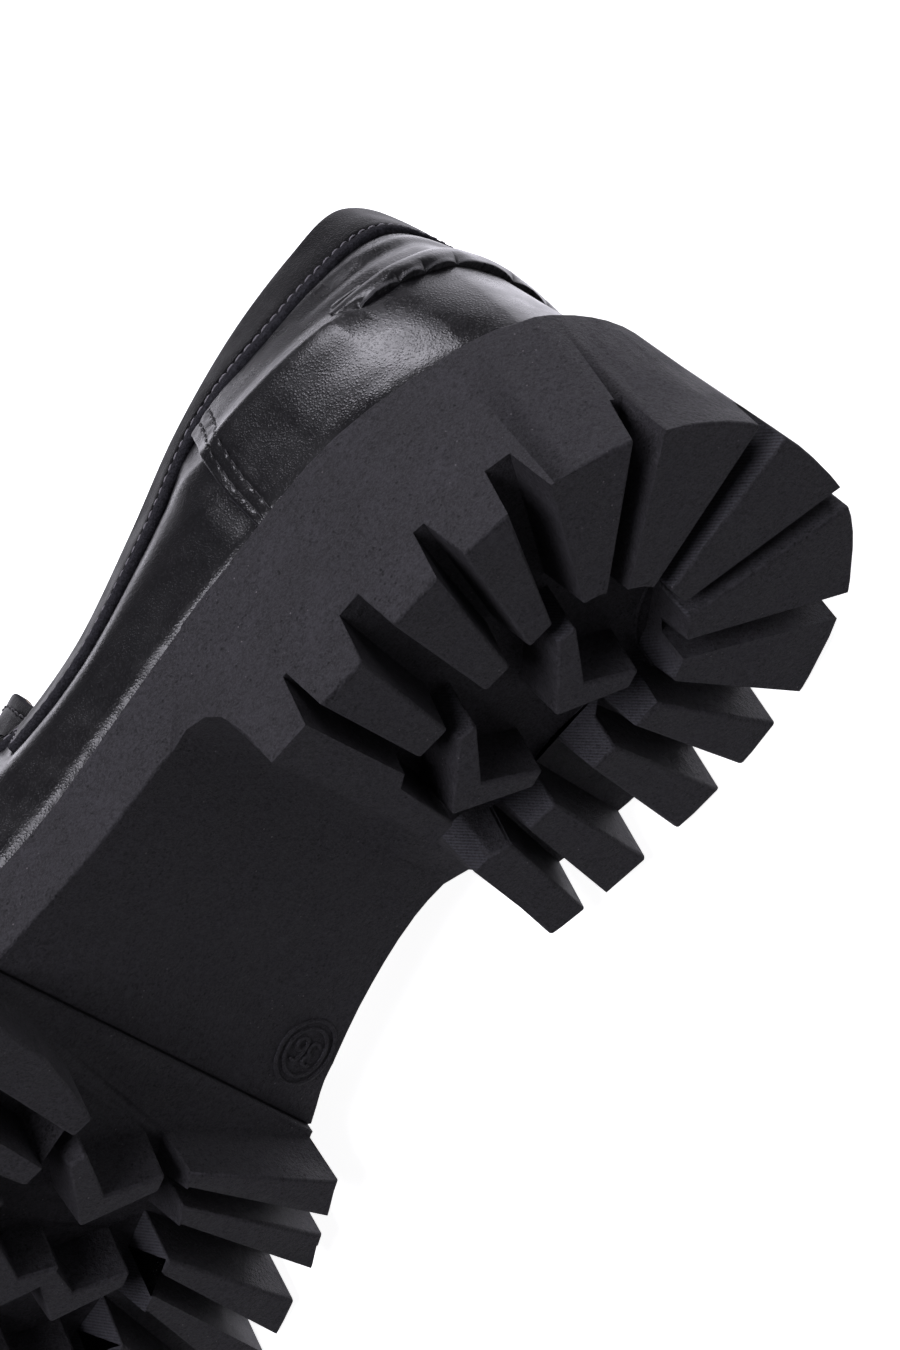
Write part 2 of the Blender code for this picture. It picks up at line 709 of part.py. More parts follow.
def shell(name, outer, inner, slot, closed=False):
    """A closed body between two grids of points, joined along their edges."""
    rows, columns = outer.shape[:2]
    count = rows * columns
    faces = [grid_faces(rows, columns, 0, False, closed), grid_faces(rows, columns, count, True, closed)]
    row = np.arange(rows if closed else rows - 1)
    after = (row + 1) % rows
    low = np.stack([row * columns, after * columns, after * columns + count, row * columns + count], axis=1)
    top = low + columns - 1
    faces += [low, top[:, ::-1]]
    if not closed:
        column = np.arange(columns - 1)
        side = np.stack([column, column + count, column + count + 1, column + 1], axis=1)
        faces += [side, (side + (rows - 1) * columns)[:, ::-1]]
    vertices = np.concatenate([outer.reshape(-1, 3), inner.reshape(-1, 3)])
    mesh = mesh_of(name, vertices, np.concatenate(faces))
    mesh.shade_smooth()
    mesh.set_sharp_from_angle(angle=math.radians(SHARP_ANGLE))
    return new_object(name, mesh, slot)


def rib_grid(at, low, high, steps):
    """A grid of parameters with low and high as its limits along the ribs."""
    share = np.linspace(0.0, 1.0, steps)[None, :]
    low = np.broadcast_to(np.asarray(low, float), at.shape)[:, None]
    high = np.broadcast_to(np.asarray(high, float), at.shape)[:, None]
    return np.broadcast_to(at[:, None], (len(at), steps)), low + (high - low) * share


def even_places(count):
    """Parameters round the outline, closer together round the heel and the toe."""
    fine = np.arange(FINE_STEPS) / FINE_STEPS
    way = outline(fine + 1.0 / FINE_STEPS) - outline(fine)
    turn = np.abs(np.diff(np.unwrap(np.arctan2(way[:, 1], way[:, 0])), append=0.0))
    turn[-1] = 0.0
    weight = np.linalg.norm(way, axis=1) + TURN_WEIGHT * turn
    reached = np.concatenate([[0.0], np.cumsum(weight)]) / weight.sum()
    return np.interp(np.arange(count) / count, reached, np.append(fine, 1.0))


def build_upper():
    """One hollow wall of leather, open at the collar and the throat above and over the sole below."""
    places = even_places(RIB_COUNT)
    cut = ribs(places)[4]
    at, up = rib_grid(places, 0.0, cut, RIB_STEPS)
    outer = on_last(at, up)
    inner = off_last(at, up, np.full(at.shape, -WALL))
    inner[:, 0, 2] = outer[:, 0, 2]
    return shell("upper", outer, inner, "leather_black", closed=True)


def build_insole():
    """The footbed, inside the foot of the upper."""
    at, up = rib_grid(even_places(RIB_COUNT), 0.0, INSOLE_LEVEL, 2)
    edge = off_last(at, up, np.full(at.shape, -WALL - 2 * GAP))[..., :2]
    mesh = mesh_of("insole", *frustum(edge[:, 0], 0.0, edge[:, 1], INSOLE_THICK))
    work = bmesh.new()
    work.from_mesh(mesh)
    bmesh.ops.recalc_face_normals(work, faces=work.faces)
    work.to_mesh(mesh)
    work.free()

    def seated(points):
        moved = points.copy()
        moved[:, 2] += heights(points[:, 0]) + GAP
        return moved

    cross_edged(mesh, CROSS_EDGES, seated)
    return new_object("insole", mesh, "lining")


def span(start, end, count):
    """Parameters from one place round the toe or the heel to another."""
    first = outline_place(*start)
    last = outline_place(*end)
    return np.linspace(first, last, count)


def build_tongue():
    """The flap that runs on from under the throat of the vamp."""
    places = span(TONGUE_START, TONGUE_END, TONGUE_COUNT)
    share = np.linspace(0.0, 1.0, TONGUE_COUNT)
    from_side = np.minimum(share, 1.0 - share)
    fall = np.clip((from_side - TONGUE_DIP_FROM) / (TONGUE_DIP_TO - TONGUE_DIP_FROM), 0.0, 1.0)
    edge = 1.0 - TONGUE_DIP * fall**2 * (3.0 - 2.0 * fall)
    at, up = rib_grid(places, TONGUE_ROOT, edge, TONGUE_STEPS)
    inside = np.full(at.shape, -WALL - 2 * GAP)
    return shell(
        "tongue", off_last(at, up, inside), off_last(at, up, inside - TONGUE_THICK), "leather_dark"
    )


def plane_crossing(places, back_x):
    """How far up each rib a raked plane across the shoe is met."""
    up = np.linspace(0.0, 1.0, RIB_SAMPLES)
    at, levels = np.meshgrid(places, up, indexing="ij")
    points = on_last(at, levels)
    ahead = points[..., 0] - back_x + STRAP_RAKE * (points[..., 2] - points[:, :1, 2])
    found = np.maximum(np.argmax(ahead < 0, axis=1), 1)
    rows = np.arange(len(places))
    above = ahead[rows, found]
    below = ahead[rows, found - 1]
    share = np.clip(below / np.where(below == above, 1.0, below - above), 0.0, 1.0)
    return up[found - 1] + share * (up[1] - up[0])


def build_saddle_strap():
    """The strap across the instep, from feather to feather, on the outside of the upper."""
    rows = []
    levels = []
    even = np.linspace(0.0, 1.0, STRAP_COUNT)
    crowded = even - np.sin(2 * math.pi * even) / (2 * math.pi)
    for share in np.linspace(1.0, 0.0, STRAP_STEPS):
        x = STRAP_BACK_X + STRAP_WIDTH * share
        first = outline_place(x, 1)
        places = first + (outline_place(x, -1) - first) * crowded
        rows.append(places)
        levels.append(np.maximum(plane_crossing(places, x), STRAP_LOW))
    at = np.array(rows).T
    up = np.array(levels).T
    bulge = GAP + np.zeros(at.shape)
    return shell("saddle_strap", off_last(at, up, bulge + STRAP_THICK), off_last(at, up, bulge), "leather_black")


def build_heel_kicker():
    """The rolled strip that stands proud round the back of the heel, thinning to its ends."""
    first = outline_place(*KICKER_START)
    last = outline_place(*KICKER_END) - 1.0
    places = np.linspace(last, first, KICKER_COUNT)
    fade = np.sin(np.linspace(0.0, math.pi, KICKER_COUNT)) ** 0.5
    fade = np.maximum(fade, KICKER_END_SHARE)
    ends = on_last(*rib_grid(places, 0.0, 1.0, 2))
    rib_length = np.linalg.norm(ends[:, 1] - ends[:, 0], axis=1)
    half = KICKER_HALF * fade / rib_length
    middle = KICKER_HEIGHT - KICKER_DROP * (1.0 - fade)
    at, up = rib_grid(places, middle - half, middle + half, KICKER_STEPS)
    across = np.linspace(-1.0, 1.0, KICKER_STEPS)[None, :]
    crown = np.sqrt(np.maximum(1.0 - across**2, 0.0))
    proud = KICKER_EDGE + (KICKER_PROUD - KICKER_EDGE) * crown * fade[:, None]
    inside = np.full(at.shape, GAP)
    return shell("heel_kicker", off_last(at, up, GAP + proud), off_last(at, up, inside), "leather_dark")


def lying_turn():
    """The turn from the shoe's axes to the floor's: toe to -X, tread to -Y, outer side up."""
    yaw = math.radians(LYING_YAW)
    roll = math.radians(LYING_ROLL)
    up = Vector((math.sin(yaw) * math.cos(roll), math.cos(yaw) * math.cos(roll), -math.sin(roll)))
    toe = Vector((1.0, 0.0, 0.0))
    left = -(toe - up * toe.dot(up)).normalized()
    return Matrix((left, up.cross(left), up))


def lay_down(pieces):
    """Turn the upright pieces onto their inner side, over the origin and standing on the floor."""
    turn = lying_turn().to_4x4()
    for piece in pieces:
        piece.data.transform(turn)
    points = np.concatenate([[v.co[:] for v in piece.data.vertices] for piece in pieces])
    low = points.min(0)
    high = points.max(0)
    shift = Matrix.Translation((-(low[0] + high[0]) / 2, -(low[1] + high[1]) / 2, -low[2]))
    for piece in pieces:
        piece.data.transform(Matrix.Scale(MM, 4) @ shift)


def main():
    """Build every piece upright, then lay the shoe down."""
    clear_scene()
    pieces = [
        build_outsole(),
        build_upper(),
        build_insole(),
        build_tongue(),
        build_saddle_strap(),
        build_heel_kicker(),
    ]
    lay_down(pieces)


if __name__ == "__main__":
    main()
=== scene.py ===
"""Looks of a left loafer on a moulded lug sole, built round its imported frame.

Every table and size is in millimetres, in the shoe's own axes: X runs from the back of the heel to the toe,
+Y is the outer side and +Z goes up from the tread. Pose turns them into the frame's metres, with the shoe
lying on its inner side. Two parameters name a place on the upper: at goes once round the sole from the back
of the heel over the outer side, and up goes along the rib of the last from the feather to the rim.
"""

import logging
import math
from collections.abc import Callable, Sequence
from dataclasses import dataclass, field
from enum import Enum

import bmesh
import bpy
import numpy as np
from mathutils import Matrix, Vector
from mathutils.bvhtree import BVHTree


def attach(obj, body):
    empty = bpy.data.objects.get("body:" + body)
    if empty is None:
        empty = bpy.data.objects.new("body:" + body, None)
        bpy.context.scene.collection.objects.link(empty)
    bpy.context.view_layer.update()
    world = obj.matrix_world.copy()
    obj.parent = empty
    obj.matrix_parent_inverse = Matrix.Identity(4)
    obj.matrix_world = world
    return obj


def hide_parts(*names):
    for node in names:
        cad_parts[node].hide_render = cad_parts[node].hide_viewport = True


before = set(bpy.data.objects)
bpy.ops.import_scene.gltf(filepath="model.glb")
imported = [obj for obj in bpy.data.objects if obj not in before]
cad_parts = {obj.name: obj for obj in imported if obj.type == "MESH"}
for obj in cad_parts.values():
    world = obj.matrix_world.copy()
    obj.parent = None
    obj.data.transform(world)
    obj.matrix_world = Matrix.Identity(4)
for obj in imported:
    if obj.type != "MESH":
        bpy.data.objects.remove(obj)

Array = np.ndarray
Socket = bpy.types.NodeSocket
Material = bpy.types.Material
LOG = logging.getLogger("loafer")
MM = 0.001
GAP = 0.3


class Slot(Enum):
    """The record's material slots."""

    SOLE = "sole_rubber"
    LEATHER = "upper_leather"
    FOOTBED = "footbed"


# ---------------------------------------------------------------- numbers and curves


def smooth_step(value: Array, low: float, high: float) -> Array:
    """A cubic that rises from 0 at low to 1 at high.

    Args:
        value: Where it is read.
        low: Where it leaves 0; it may be above high, for a fall.
        high: Where it reaches 1.

    Returns:
        The shares, in the shape of value.
    """
    share = np.clip((np.asarray(value, float) - low) / (high - low), 0.0, 1.0)
    return share * share * (3.0 - 2.0 * share)


def bell(distance: Array, width: float) -> Array:
    """exp(-(distance/width)^2), the profile of a soft ridge."""
    return np.exp(-((distance / width) ** 2))


def soft_noise(points: Array, size: float, seed: int, waves: int = 14) -> Array:
    """Smooth noise: a sum of sine waves in seeded directions, with lengths near size.

    Args:
        points: Places in millimetres, in the last axis.
        size: Typical length of a wave in millimetres.
        seed: Seed of the directions and phases.
        waves: How many waves are summed.

    Returns:
        Values of about -1 to 1.
    """
    draw = np.random.default_rng(seed)
    ways = draw.normal(size=(waves, 3))
    ways /= np.linalg.norm(ways, axis=1)[:, None]
    turns = 2.0 * math.pi * ways / (size * draw.uniform(0.7, 1.6, waves))[:, None]
    phases = draw.uniform(0.0, 2.0 * math.pi, waves)
    return np.sin(points @ turns.T + phases).sum(-1) / math.sqrt(waves)


def cubic(share: Array, width: Array | float, ends: Sequence[Array], slopes: Sequence[Array]) -> Array:
    """The cubic over one stretch that meets a value and a slope at each end.

    Args:
        share: How far along the stretch it is read, 0 to 1.
        width: The stretch's width, in the units of the slopes.
        ends: Its values at the start and at the end.
        slopes: Its slopes at the start and at the end.

    Returns:
        The values.
    """
    square = share**2
    cube = share**3
    return (
        (2 * cube - 3 * square + 1) * ends[0]
        + (cube - 2 * square + share) * width * slopes[0]
        + (3 * square - 2 * cube) * ends[1]
        + (cube - square) * width * slopes[1]
    )


def closed_curve(knots: Array, values: Array, at: Array) -> Array:
    """The smooth closed curve through values: a cubic between each two knots in 0..1, whose slope at a knot
    is that of the chord between its two neighbours.

    Args:
        knots: Parameters of the values, rising from 0.
        values: A row for each knot.
        at: Parameters to read, taken round the circle.

    Returns:
        A row for each parameter.
    """
    before = np.roll(knots, 1)
    before[0] -= 1.0
    after = np.roll(knots, -1)
    after[-1] += 1.0
    slopes = (np.roll(values, -1, 0) - np.roll(values, 1, 0)) / (after - before)[:, None]
    at = np.mod(np.atleast_1d(at), 1.0)
    left = np.searchsorted(knots, at, side="right") - 1
    right = (left + 1) % len(knots)
    width = (after - knots)[left][:, None]
    share = (at - knots[left])[:, None] / width
    return cubic(share, width, (values[left], values[right]), (slopes[left], slopes[right]))


def unit(vectors: Array) -> Array:
    """The vectors of the last axis at length 1."""
    return vectors / np.maximum(np.linalg.norm(vectors, axis=-1, keepdims=True), 1e-12)


def run_lengths(points: Array) -> Array:
    """The length reached at each point of a line of points, from 0."""
    return np.concatenate([[0.0], np.cumsum(np.linalg.norm(np.diff(points, axis=0), axis=1))])


def from_heel(at: Array) -> Array:
    """Parameters round the sole, counted from the back of the heel to either side, so in 0..0.5."""
    round_once = np.mod(np.asarray(at, float), 1.0)
    return np.minimum(round_once, 1.0 - round_once)


def round_off(edge: Array, radius: float) -> Array:
    """How far a face falls to an edge rounded by a quarter circle of that radius, edge millimetres away."""
    return radius - np.sqrt(np.maximum(radius**2 - np.clip(radius - edge, 0.0, radius) ** 2, 0.0))


# ---------------------------------------------------------------- the shoe's form

SOLE_OUTLINE = (
    # x, y of the tread, from the back of the heel round the outer side, the toe and the inner side
    (-0.7, 0.0),
    (0.5, 11.0),
    (4.4, 18.8),
    (11.8, 26.6),
    (23.0, 32.2),
    (40.0, 35.0),
    (56.0, 34.2),
    (72.0, 33.1),
    (88.0, 32.6),
    (105.0, 32.9),
    (122.0, 34.4),
    (142.0, 37.2),
    (164.0, 39.0),
    (186.0, 38.0),
    (206.0, 33.2),
    (224.0, 23.8),
    (239.0, 11.0),
    (249.0, -2.5),
    (253.5, -16.0),
    (250.5, -29.5),
    (241.0, -41.0),
    (227.0, -49.5),
    (209.0, -55.5),
    (189.0, -58.6),
    (168.0, -58.8),
    (150.0, -55.8),
    (136.5, -50.4),
    (126.4, -44.0),
    (118.2, -37.9),
    (107.0, -33.6),
    (96.0, -30.6),
    (85.0, -29.4),
    (77.0, -31.0),
    (70.0, -33.1),
    (58.0, -34.8),
    (40.0, -35.8),
    (23.0, -32.4),
    (11.8, -26.6),
    (4.4, -18.8),
    (0.5, -11.0),
)
FEATHER = (
    # x, z of the line where the upper meets the sole
    (-1.0, 28.3),
    (12.0, 28.3),
    (24.0, 29.0),
    (40.0, 30.3),
    (55.0, 29.9),
    (71.0, 28.2),
    (80.0, 26.7),
    (90.0, 24.6),
    (100.0, 22.4),
    (112.0, 20.7),
    (128.0, 19.7),
    (150.0, 19.3),
    (185.0, 19.6),
    (210.0, 21.0),
    (232.0, 24.0),
    (254.0, 27.8),
)
RIBS = (
    # outline x, side, rim x, rim y, rim z, rise, lean out, reach, slope, cut
    (-0.7, 1, 17.3, 0.0, 77.5, 16.0, -4.8, 16.0, 72.0, 1.0),
    (4.4, 1, 19.0, 13.2, 77.3, 16.0, -4.1, 16.0, 72.0, 1.0),
    (12.0, 1, 22.8, 20.9, 75.6, 16.0, -1.2, 16.0, 70.0, 1.0),
    (24.0, 1, 30.5, 24.4, 71.9, 16.0, 3.0, 16.0, 68.0, 1.0),
    (40.0, 1, 44.0, 25.4, 68.2, 15.0, 4.0, 15.0, 66.0, 1.0),
    (56.0, 1, 58.5, 25.1, 63.0, 14.0, 4.0, 14.0, 66.0, 1.0),
    (72.0, 1, 72.0, 24.4, 56.2, 12.0, 5.0, 12.0, 66.0, 1.0),
    (88.0, 1, 86.0, 23.4, 50.2, 11.0, 6.0, 11.0, 64.0, 1.0),
    (104.0, 1, 97.0, 21.6, 49.4, 12.0, 7.0, 12.0, 60.0, 0.98),
    (122.0, 1, 99.6, 19.0, 54.0, 14.0, 8.0, 16.0, 56.0, 0.86),
    (146.0, 1, 102.4, 15.0, 63.4, 16.0, 9.0, 24.0, 50.0, 0.84),
    (180.0, 1, 102.4, 9.0, 72.6, 20.0, 9.5, 38.0, 42.0, 0.86),
    (222.0, 1, 100.4, 2.8, 78.6, 27.0, 10.0, 56.0, 34.0, 0.89),
    (253.5, -1, 99.4, -4.0, 80.6, 32.0, 9.0, 70.0, 29.5, 0.90),
    (224.0, -1, 100.4, -10.8, 78.8, 28.0, 9.0, 58.0, 34.0, 0.89),
    (184.0, -1, 102.4, -17.0, 73.0, 19.0, 9.8, 39.0, 43.0, 0.86),
    (150.0, -1, 102.4, -21.6, 64.2, 15.0, 10.5, 25.0, 54.0, 0.84),
    (124.0, -1, 99.6, -24.2, 55.4, 14.0, 8.0, 16.0, 62.0, 0.86),
    (107.0, -1, 97.0, -24.8, 51.4, 12.0, 6.5, 13.0, 66.0, 0.98),
    (90.0, -1, 86.0, -24.6, 52.4, 12.0, 4.0, 12.0, 70.0, 1.0),
    (72.0, -1, 72.0, -24.8, 58.0, 13.0, 4.0, 13.0, 68.0, 1.0),
    (56.0, -1, 58.5, -25.2, 64.2, 14.0, 4.0, 14.0, 67.0, 1.0),
    (40.0, -1, 44.0, -25.4, 69.0, 15.0, 2.0, 15.0, 66.0, 1.0),
    (24.0, -1, 30.5, -24.0, 72.2, 16.0, 0.5, 16.0, 68.0, 1.0),
    (12.0, -1, 22.8, -20.5, 75.6, 16.0, -2.2, 16.0, 70.0, 1.0),
    (4.4, -1, 19.0, -13.2, 77.3, 16.0, -4.1, 16.0, 72.0, 1.0),
)


@dataclass
class Last:
    """The form that the upper is drawn over, and the outline of the sole under it."""

    toe_row: int = 18
    feather_height: float = 28.3
    back_lean: float = 4.7
    back_lean_half_width: float = 27.0
    inner_flare: float = 2.6
    flare_run: float = 22.0
    sole_middle_x: float = 100.0
    axis_x: tuple[float, ...] = (70.0, 160.0, 250.0)
    axis_y: tuple[float, ...] = (0.0, -10.0, -16.0)
    feather_inset: float = 1.4
    back_inset: float = 1.8
    back_inset_run: float = 20.0
    wall: float = 2.0
    table_rows: int = 20000

    def __post_init__(self) -> None:
        """Work out the knots of the outline and of the ribs."""
        self.outline_points = np.array(SOLE_OUTLINE)
        steps = np.linalg.norm(np.roll(self.outline_points, -1, 0) - self.outline_points, axis=1)
        self.outline_knots = np.concatenate([[0.0], np.cumsum(steps)[:-1]]) / steps.sum()
        self.rib_places = np.array([self.place(row[0], row[1]) for row in RIBS])
        self.rib_values = np.array([row[2:] for row in RIBS])
        even = np.arange(self.table_rows + 1) / self.table_rows
        start, first, second, rim, cut = self.rib_highlights(even)
        self.table = np.stack([start, first, second, rim], axis=1).reshape(-1, 12)
        self.cuts = cut

    def outline(self, at: Array) -> Array:
        """Plan points of the tread's outline."""
        return closed_curve(self.outline_knots, self.outline_points, at)

    def outward(self, at: Array) -> Array:
        """Plan unit normals of the outline, pointing out of the sole."""
        along = self.outline(at + 1e-4) - self.outline(at - 1e-4)
        return unit(np.stack([-along[:, 1], along[:, 0]], axis=1))

    def place(self, x: float, side: int) -> float:
        """Find where the outline passes x.

        Args:
            x: The distance from the back of the heel.
            side: 1 for the outer side, -1 for the inner side.

        Returns:
            The outline's parameter there.
        """
        toe = self.outline_knots[self.toe_row]
        at = np.linspace(0.0, toe, 1500) if side > 0 else np.linspace(1.0, toe, 1500)
        reached = self.outline(at)[:, 0]
        return float(np.interp(x, reached[1:-1], at[1:-1])) % 1.0 if x > reached[0] + 0.01 else 0.0

    def heights(self, x: Array) -> Array:
        """Height of the feather line over the tread's plane: a smooth cubic through FEATHER.

        Args:
            x: Places along the shoe, in millimetres.

        Returns:
            Height of the feather line over each place.
        """
        table = np.array(FEATHER)
        fine = np.linspace(0, len(table) - 1, 600)
        rows = np.arange(len(table))
        slope = np.gradient(table[:, 1], rows)
        low = np.clip(fine.astype(int), 0, len(table) - 2)
        ends = (table[low, 1], table[low + 1, 1])
        smooth = cubic(fine - low, 1.0, ends, (slope[low], slope[low + 1]))
        return np.interp(x, np.interp(fine, rows, table[:, 0]), smooth)

    def sidewall(self, at: Array, z: float) -> Array:
        """Plan points of the sole's sidewall at a height: it leans in at the back of the heel, and on the
        inner side it narrows from the tread to the feather.

        Args:
            at: Parameters round the sole.
            z: Height over the ground, in millimetres.

        Returns:
            Its points there.
        """
        plan = self.outline(at)
        rise = z / self.feather_height
        across = np.clip(np.abs(plan[:, 1]) / self.back_lean_half_width, 0.0, 1.0)
        back = np.where(plan[:, 0] < self.sole_middle_x, self.back_lean * np.cos(across * math.pi / 2), 0.0)
        axis = np.interp(plan[:, 0], self.axis_x, self.axis_y)
        inner = np.clip((axis - plan[:, 1]) / self.flare_run, 0.0, 1.0)
        leaned = plan - self.outward(at) * (self.inner_flare * rise * inner**2 * (3 - 2 * inner))[:, None]
        leaned[:, 0] += back * rise
        return leaned

    def rib_highlights(self, at: Array) -> tuple[Array, Array, Array, Array, Array]:
        """The four control points of the rib at each parameter, and where the upper's edge cuts it.

        Args:
            at: Parameters round the sole.

        Returns:
            The rib's start, its first and second handles, its end at the rim, and the edge's share of it.
        """
        plan = self.sidewall(at, self.feather_height)
        near_back = np.clip(1.0 - plan[:, 0] / self.back_inset_run, 0.0, 1.0)
        plan = plan - self.outward(at) * (self.feather_inset + self.back_inset * near_back)[:, None]
        start = np.column_stack([plan, self.heights(plan[:, 0]) + GAP])
        values = closed_curve(self.rib_places, self.rib_values, at)
        rim = values[:, :3]
        rise, lean, reach, slope, cut = values[:, 3:].T
        first = start + np.column_stack([self.outward(at) * lean[:, None], rise])
        inward = unit(rim[:, :2] - start[:, :2])
        slope = np.radians(slope)
        second = rim - np.column_stack([inward * (reach * np.cos(slope))[:, None], reach * np.sin(slope)])
        return start, first, second, rim, cut

    def between(self, table: Array, at: Array) -> Array:
        """Rows of one of the tables made from the ribs, read evenly between its steps.

        Args:
            table: Values at even steps round the sole.
            at: Parameters round the sole.

        Returns:
            The values at those places.
        """
        place = np.mod(at, 1.0) * self.table_rows
        low = np.minimum(place.astype(int), self.table_rows - 1)
        share = place - low
        share = share.reshape(share.shape + (1,) * (table.ndim - 1))
        return table[low] * (1.0 - share) + table[low + 1] * share

    def cut(self, at: Array) -> Array:
        """How far up the ribs the upper's edge is, in the shape of at."""
        return self.between(self.cuts, np.asarray(at, float))

    def on(self, at: Array, up: Array) -> Array:
        """Points of the upper's outer face: the cubic rib at each at, read at up; their shapes are broadcast.

        Args:
            at: Parameters round the sole.
            up: Parameters along the ribs.

        Returns:
            Points of the last's surface, in millimetres.
        """
        controls = self.between(self.table, np.asarray(at, float))
        start, first, second, rim = np.split(controls, 4, axis=-1)
        u = np.asarray(up, float)[..., None]
        return (1 - u) ** 3 * start + 3 * u * (1 - u) ** 2 * first + 3 * u**2 * (1 - u) * second + u**3 * rim

    def ways(self, at: Array, up: Array) -> tuple[Array, Array, Array]:
        """The surface's slopes and its normal.

        Args:
            at: Parameters round the sole.
            up: Parameters along the ribs.

        Returns:
            Millimetres per unit of at, millimetres per unit of up, both as vectors, and the outward normal.
        """
        step = 1e-4
        round_way = (self.on(at + step, up) - self.on(at - step, up)) / (2 * step)
        up_way = (self.on(at, up + step) - self.on(at, up - step)) / (2 * step)
        return round_way, up_way, unit(np.cross(up_way, round_way))

    def off(self, at: Array, up: Array, distance: Array) -> Array:
        """Points at a distance outside the upper's outer face."""
        return self.on(at, up) + self.ways(at, up)[2] * np.asarray(distance, float)[..., None]

    def round_scale(self, at: Array, up: Array) -> Array:
        """Millimetres to one unit of at."""
        return np.linalg.norm(self.ways(at, up)[0], axis=-1)

    def up_scale(self, at: Array, up: Array) -> Array:
        """Millimetres to one unit of up."""
        return np.linalg.norm(self.ways(at, up)[1], axis=-1)


@dataclass
class Pose:
    """The turn from the shoe's axes to the frame's, and the shift that the outsole's own box gives."""

    yaw: float = 10.264
    roll: float = 2.979
    back_x: float = -0.7
    outer_y: float = 39.0

    def __post_init__(self) -> None:
        """Read the shift off the outsole's node: the tread is at z 0, and the heel's back and the widest
        outer point are at known places."""
        yaw = math.radians(self.yaw)
        roll = math.radians(self.roll)
        up = Vector((math.sin(yaw) * math.cos(roll), math.cos(yaw) * math.cos(roll), -math.sin(roll)))
        toe = Vector((1.0, 0.0, 0.0))
        left = -(toe - up * toe.dot(up)).normalized()
        self.turn = np.array(Matrix((left, up.cross(left), up)))
        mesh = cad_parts["outsole"].data
        points = np.zeros(len(mesh.vertices) * 3, np.float32)
        mesh.vertices.foreach_get("co", points)
        upright = points.reshape(-1, 3).astype(float) / MM @ self.turn
        low = upright.min(0)
        high = upright.max(0)
        self.shift = np.array([low[0] - self.back_x, high[1] - self.outer_y, low[2]])

    def place(self, points: Array) -> Array:
        """The frame's metres from the shoe's millimetres."""
        return (np.asarray(points, float) + self.shift) @ self.turn.T * MM

    def direction(self, way: Sequence[float]) -> Vector:
        """A direction of the shoe in the frame's axes."""
        return Vector(self.turn @ np.array(way)).normalized()

    def upright(self, points: Array) -> Array:
        """The shoe's millimetres from the frame's metres."""
        return points / MM @ self.turn - self.shift


LAST = Last()
POSE = Pose()


# ---------------------------------------------------------------- meshes


def grid_quads(rows: int, columns: int, ring: bool = False) -> Array:
    """Quads of a grid of points, rows going round the shoe and columns up it, facing outwards.

    Args:
        rows: Number of rows of points.
        columns: Number of points in a row.
        ring: Whether the last row joins the first.

    Returns:
        An array of four corners a face.
    """
    row, column = np.meshgrid(np.arange(rows if ring else rows - 1), np.arange(columns - 1), indexing="ij")
    a = row * columns + column
    b = (row + 1) % rows * columns + column
    return np.stack([a, a + 1, b + 1, b], axis=-1).reshape(-1, 4)


def shell_faces(shape: tuple[int, int], ratio: int, ring: bool) -> list[Array]:
    """Faces of a closed wall between a fine outer grid and an inner grid of every ratio-th row and column.

    Args:
        shape: Rows and columns of the outer grid.
        ratio: Steps of the outer grid to one of the inner grid.
        ring: Whether the last row joins the first.

    Returns:
        The outer quads, the inner quads, and the edge faces, which join ratio outer edges to one inner edge.
    """
    rows, columns = shape
    inner_rows = rows // ratio if ring else (rows - 1) // ratio + 1
    inner_columns = (columns - 1) // ratio + 1
    base = rows * columns
    faces = [grid_quads(rows, columns, ring), grid_quads(inner_rows, inner_columns, ring)[:, ::-1] + base]
    count = inner_rows if ring else inner_rows - 1
    here = np.arange(count)
    after = (here + 1) % inner_rows
    steps = np.arange(ratio + 1)
    outer = (here[:, None] * ratio + steps) % rows * columns
    low = np.column_stack([outer, base + after * inner_columns, base + here * inner_columns])
    top = np.column_stack([outer + columns - 1, base + (after + 1) * inner_columns - 1])
    top = np.column_stack([top, base + (here + 1) * inner_columns - 1])
    faces += [low, top[:, ::-1]]
    if not ring:
        here = np.arange(inner_columns - 1)
        outer = here[:, None] * ratio + steps
        first = np.column_stack([outer, base + here + 1, base + here])
        last = first + np.concatenate(
            [np.full(ratio + 1, (rows - 1) * columns), np.full(2, (inner_rows - 1) * inner_columns)]
        )
        faces += [first[:, ::-1], last]
    return faces


def tube_faces(rows: int, around: int, ring: bool) -> list[Array]:
    """Faces of a profile of points carried along a path, with capped ends unless it closes on itself.

    Args:
        rows: Number of profiles along the path.
        around: Number of points in a profile.
        ring: Whether the last profile joins the first.

    Returns:
        The side quads and the caps.
    """
    row, column = np.meshgrid(np.arange(rows if ring else rows - 1), np.arange(around), indexing="ij")
    a = row * around + column
    b = row * around + (column + 1) % around
    after = (row + 1) % rows - row
    quads = np.stack([a, b, b + after * around, a + after * around], axis=-1).reshape(-1, 4)
    if ring:
        return [quads]
    cap = np.arange(around)[None, :]
    return [quads, cap[:, ::-1], cap + (rows - 1) * around]


